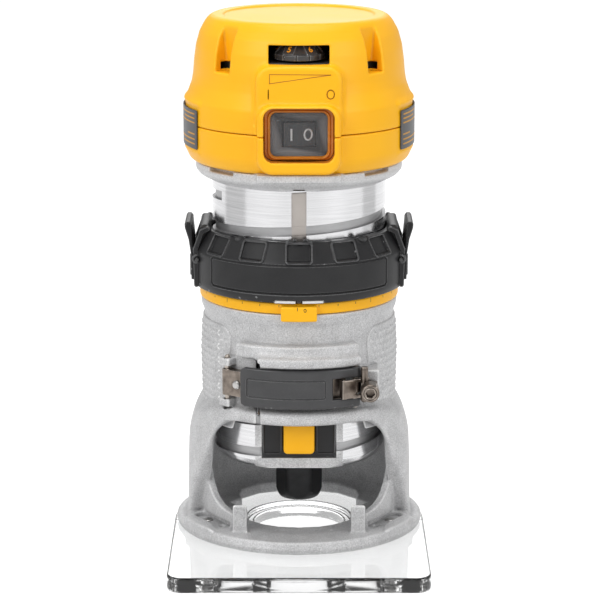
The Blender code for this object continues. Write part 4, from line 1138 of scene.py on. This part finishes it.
def flat_mark(name, outline_pairs, place, body, mat, thick=0.12):
    """Closed lines in the local X-Z plane, each a list of points and a width."""
    bm = bmesh.new()
    for points, width in outline_pairs:
        count = len(points)
        for i in range(count):
            a, b = Vector(points[i]), Vector(points[(i + 1) % count])
            if (b - a).length < 1e-6:
                continue
            made = bmesh.ops.create_cube(bm, size=1)["verts"]
            length = (b - a).length + width * 0.9
            bmesh.ops.scale(bm, vec=(length, thick, width), verts=made)
            tilt = math.atan2(b.y - a.y, b.x - a.x)
            middle = (a + b) / 2
            matrix = Matrix.Translation((middle.x, 0, middle.y)) @ Matrix.Rotation(-tilt, 4, "Y")
            bmesh.ops.transform(bm, matrix=place @ matrix, verts=made)
    return add_piece(name, bm_mesh(name, bm), body, mat, smooth=False)


def circle(cx, cz, rx, rz, count=20):
    """The points of an ellipse."""
    angles = [2 * math.pi * i / count for i in range(count)]
    return [(cx + rx * math.cos(a), cz + rz * math.sin(a)) for a in angles]


def switch_parts():
    solid("switch_boot_moulded", boot, (-11, -43.8, 163.2), (11, -38.6, 180.2), 0.2, "motor", BOOT,
          ["switch_boot"])
    solid("power_rocker_moulded", rocker, (-6.6, -41.2, 166.5), (6.6, -33, 176.4), 0.2, "power_rocker",
          BLACK, ["power_rocker"])
    solid("switch_frame", switch_frame, (-13.6, -43.0, 161.2), (13.6, -40.2, 182.6), 0.25, "motor", SHADE_AMBER)
    base = Matrix.Translation((0, ROCKER_Y, ROCKER_Z)) @ Matrix.Rotation(TILT, 4, "Z")
    lean = math.atan2(1.2, 6.0)
    left = base @ Matrix.Translation((-3.2, -2.58, 0)) @ Matrix.Rotation(-lean, 4, "Z")
    right = base @ Matrix.Translation((3.2, -2.58, 0)) @ Matrix.Rotation(lean, 4, "Z")
    flat_mark("rocker_mark_on", [([(0, -2.0), (0, 2.0)], 0.7)], left, "power_rocker", WHITE)
    flat_mark("rocker_mark_off", [(circle(0, 0, 1.5, 2.0), 0.6)], right, "power_rocker", WHITE)
    face = Matrix.Translation((0, -42.93, 0))
    marks = [
        ([(-11.1, 191.4), (-11.1, 194.9), (12.0, 194.7)], 0.28),
        ([(-11.6, 185.6), (-11.6, 189.0)], 0.34),
        (circle(12.0, 187.3, 1.4, 1.7), 0.34),
    ]
    flat_mark("panel_marks", marks, face, "motor", MARK, 0.10)


DIAL_Y, PAD_TURN = 29.2, 33


def dial(x, y, z):
    """The speed dial."""
    cy = y + DIAL_Y
    r = np.hypot(x, cy)
    body = soft_max(r - np.interp(z, [199.0, 199.4, 201.2, 201.5, 201.7, 201.9, 205.4],
                                  [9.3, 9.8, 9.85, 9.6, 9.0, 8.75, 5.6]), slab(z, 199.2, 205.0), 0.4)
    angle = np.degrees(np.arctan2(x, -cy))
    notch = np.abs((angle + 6) - np.round((angle + 6) / 30) * 30) - 1.6
    body = cut(body, meet(notch * 0.16, 9.35 - r), 0.2)
    for k in range(6):
        a = math.radians(60 * k + PAD_TURN)
        along, out = x * math.cos(a) + cy * math.sin(a), x * math.sin(a) - cy * math.cos(a)
        pad = meet(np.abs(along) - 2.3, (out - 7.9) * 0.74 + (z - 203.4) * 0.67, slab(out, 5.5, 9.3))
        pad = meet(pad, slab(z, 201.2, 205.2))
        body = soft_min(body, pad, 0.4)
    return meet(body, 2.4 - r)


def digits():
    """The numbers 1 to 6 on the dial's raised pads."""
    meshes = []
    for k in range(6):
        curve = bpy.data.curves.new("digit", "FONT")
        curve.body = str((k + 5) % 6 + 1)
        curve.size, curve.extrude, curve.offset = 3.6, 0.12, 0.05
        curve.align_x, curve.align_y = "CENTER", "CENTER"
        curve.resolution_u = 3
        obj = bpy.data.objects.new("digit", curve)
        bpy.context.scene.collection.objects.link(obj)
        graph = bpy.context.evaluated_depsgraph_get()
        mesh = bpy.data.meshes.new_from_object(obj.evaluated_get(graph))
        bpy.data.objects.remove(obj)
        turn = Matrix.Rotation(math.radians(60 * k + PAD_TURN), 4, "Z")
        lean = Matrix.Rotation(math.radians(48), 4, "X")
        pad = Matrix.Translation((0, -8.0, 203.35)) @ lean
        mesh.transform(Matrix.Translation((0, -DIAL_Y, 0)) @ turn @ pad)
        meshes.append(mesh)
    bm = bmesh.new()
    for mesh in meshes:
        bm.from_mesh(mesh)
        bpy.data.meshes.remove(mesh)
    mesh = bm_mesh("speed_digits", bm)
    add_piece("speed_digits", mesh, "speed_dial", ORANGE, smooth=False)


def label(side):
    """A plain rating plate with blank printed bars."""
    name = "left" if side < 0 else "right"

    def field(x, y, z):
        r = np.hypot(x, y)
        s = 45.5 * np.radians(side * angle_of(x, y) - 82)
        body = rounded(s, z, (0, 170.25), (17.4, 7.75), 0.8)
        return soft_max(body, slab(r, 45.25, 45.7), 0.2)

    low, high = sorted((side * 20, side * 46))
    solid(f"label_plate_{name}_film", field, (low, -26, 162), (high, 14, 178.5), 0.3, "motor", LABEL,
          [f"label_plate_{name}"])
    rows = []
    for z, end in ((176.3, 84), (174.6, 78), (172.9, 90), (168.4, 72), (166.4, 88), (164.6, 80)):
        rows += [(side * a, z, 0.55, 0.28) for a in np.arange(63, end, 1.3)]
    wrapped(f"label_bars_{name}", rows, 45.70, 0.06, "motor", PRINT)


def shell_parts():
    step = 0.5
    finish = [YELLOW, SHADE_AMBER, INTERIOR_SHADE]
    solid("top_cap_moulded", cap, (-46.5, -48, 171.2), (46.5, 46.5, 213.2), step, "motor", finish,
          ["top_cap"], shell_finish)
    solid("lower_housing_moulded", lower, (-46.5, -48, 155.8), (46.5, 46.5, 171.6), step, "motor", finish,
          ["lower_housing"], shell_finish)
    solid("speed_dial_moulded", dial, (-10.4, -39.6, 199), (10.4, -19, 206.3), 0.22, "speed_dial", DIAL,
          ["speed_dial"])
    digits()
    for side in (-1, 1):
        label(side)
    bush = [(6.6, 49.0), (7.0, 48.5), (7.0, 45.3), (5.4, 45.0), (5.4, 36.0), (3.6, 36.0), (3.6, 48.6)]
    bush += [(4.0, 49.0)]
    place = (0, 0, INLET_Z)
    lathe("cord_bushing_round", bush, "motor", BLACK, ["cord_bushing"], 64, place, BACK_Y)


# ---------------------------------------------------------------- what stays as the CAD has it

KEPT = {
    "steel": (STEEL, ["collet", "lock_spring", "spindle_lock_pin", "stator", "armature_core", "armature_shaft",
                      "lower_bearing", "upper_bearing", "brush_spring_left", "brush_spring_right",
                      "tab_spring_left", "tab_spring_right", "brush_holder_left", "brush_holder_right"]),
    "black_plastic": (BLACK, ["end_bracket", "cooling_fan", "switch_body", "speed_control", "inner_shroud"]),
    "copper": (COPPER, ["commutator", "field_coil_left", "field_coil_right"]),
    "carbon": (CARBON, ["brush_left", "brush_right"]),
}


def keep_cad_nodes():
    """Gives the CAD nodes that stay their finish, with eased edges."""
    for slot, (mat, names) in KEPT.items():
        for name in names:
            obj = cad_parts[name]
            obj.data.materials.clear()
            obj.data.materials.append(mat)
            ease = obj.modifiers.new("ease", "BEVEL")
            ease.width, ease.segments, ease.limit_method = 0.0001, 2, "ANGLE"
            ease.angle_limit = math.radians(40)


# ---------------------------------------------------------------- stage


WORLD = 0.42


def stage():
    floor_mesh = bpy.data.meshes.new("floor")
    bm = bmesh.new()
    bmesh.ops.create_grid(bm, x_segments=1, y_segments=1, size=3.0)
    bm.to_mesh(floor_mesh)
    bm.free()
    floor = bpy.data.objects.new("floor", floor_mesh)
    floor.location = (0, 0, -0.0002)
    bpy.context.scene.collection.objects.link(floor)
    paper = surface(
        "floor_paper", (0.26, 0.26, 0.26), (0.25, 0.25, 0.25), 0.9, mottle=3, grain=60, bump=0.0,
        Emission_Color=(1, 1, 1, 1), Specular_IOR_Level=0.0,
    )
    glow = paper.node_tree
    path = glow.nodes.new("ShaderNodeLightPath")
    dimmed = math_node(glow, "MULTIPLY", (path, "Is Diffuse Ray"), 0.45)
    strength = math_node(glow, "SUBTRACT", 0.94, (dimmed, "Value"))
    link(glow, strength, "Value", glow.nodes["Principled BSDF"], "Emission Strength")
    floor_mesh.materials.append(paper)

    for name, x, start, end in (("flag_left", -0.5, -0.143, 0.202), ("flag_right", 0.5, 0.018, 0.289)):
        bm = bmesh.new()
        corners = [(x, start, 0.0), (x, end, 0.0), (x, end, 0.6), (x, start, 0.6)]
        bm.faces.new([bm.verts.new(corner) for corner in corners])
        flag = bpy.data.objects.new(name, bm_mesh(name, bm))
        flag.data.materials.append(FLAG)
        flag.visible_camera = False
        bpy.context.scene.collection.objects.link(flag)

    world = bpy.data.worlds.new("studio")
    bpy.context.scene.world = world
    world.use_nodes = True
    tree = world.node_tree
    back = tree.nodes["Background"]
    coords = tree.nodes.new("ShaderNodeTexCoord")
    split = tree.nodes.new("ShaderNodeSeparateXYZ")
    link(tree, coords, "Generated", split, "Vector")
    sideways = math_node(tree, "ABSOLUTE", (split, "X"), 0)
    ramp = tree.nodes.new("ShaderNodeValToRGB")
    stops = ((0.0, 1.0), (0.80, 1.0), (0.93, 0.60), (1.0, 0.50))
    ramp.color_ramp.elements[0].position, ramp.color_ramp.elements[1].position = 0.0, 1.0
    for position, _ in stops[1:-1]:
        ramp.color_ramp.elements.new(position)
    for element, (position, level) in zip(ramp.color_ramp.elements, stops):
        element.position, element.color = position, (level, level, level, 1)
    link(tree, sideways, "Value", ramp, "Fac")
    path = tree.nodes.new("ShaderNodeLightPath")
    mix = tree.nodes.new("ShaderNodeMix")
    mix.data_type = "RGBA"
    mix.inputs["B"].default_value = (1 / WORLD, 1 / WORLD, 1 / WORLD, 1)
    link(tree, ramp, "Color", mix, "A")
    link(tree, path, "Is Camera Ray", mix, "Factor")
    link(tree, mix, "Result", back, "Color")
    back.inputs["Strength"].default_value = WORLD

    lights = (
        ("key", (-0.75, -0.85, 0.75), (0, 0, 0.10), 0.7, 6.5),
        ("fill", (0.85, -0.75, 0.55), (0, 0, 0.10), 0.7, 3.8),
        ("top", (0.0, -0.1, 1.1), (0, 0, 0.10), 0.8, 5.0),
        ("back", (0.0, 1.0, 0.7), (0, 0, 0.10), 0.8, 3.0),
    )
    for name, at, aim, size, power in lights:
        lamp = bpy.data.lights.new(name, "AREA")
        lamp.shape, lamp.size, lamp.energy = "DISK", size, power
        obj = bpy.data.objects.new(name, lamp)
        obj.location = at
        obj.rotation_mode = "QUATERNION"
        obj.rotation_quaternion = (Vector(aim) - Vector(at)).to_track_quat("-Z", "Y")
        bpy.context.scene.collection.objects.link(obj)

    camera = bpy.data.cameras.new("camera")
    camera.lens, camera.sensor_width = 153.1, 36.0
    eye = bpy.data.objects.new("camera", camera)
    eye.location = (0.0004, AXIS_Y - 0.99898, 0.33443)
    eye.rotation_euler = (math.radians(90 - 13.352), 0, 0)
    bpy.context.scene.collection.objects.link(eye)
    bpy.context.scene.camera = eye
    bpy.context.scene.view_settings.view_transform = "Standard"


base_parts()
clamp_parts()
ring_parts()
motor_parts()
shell_parts()
switch_parts()
keep_cad_nodes()
stage()
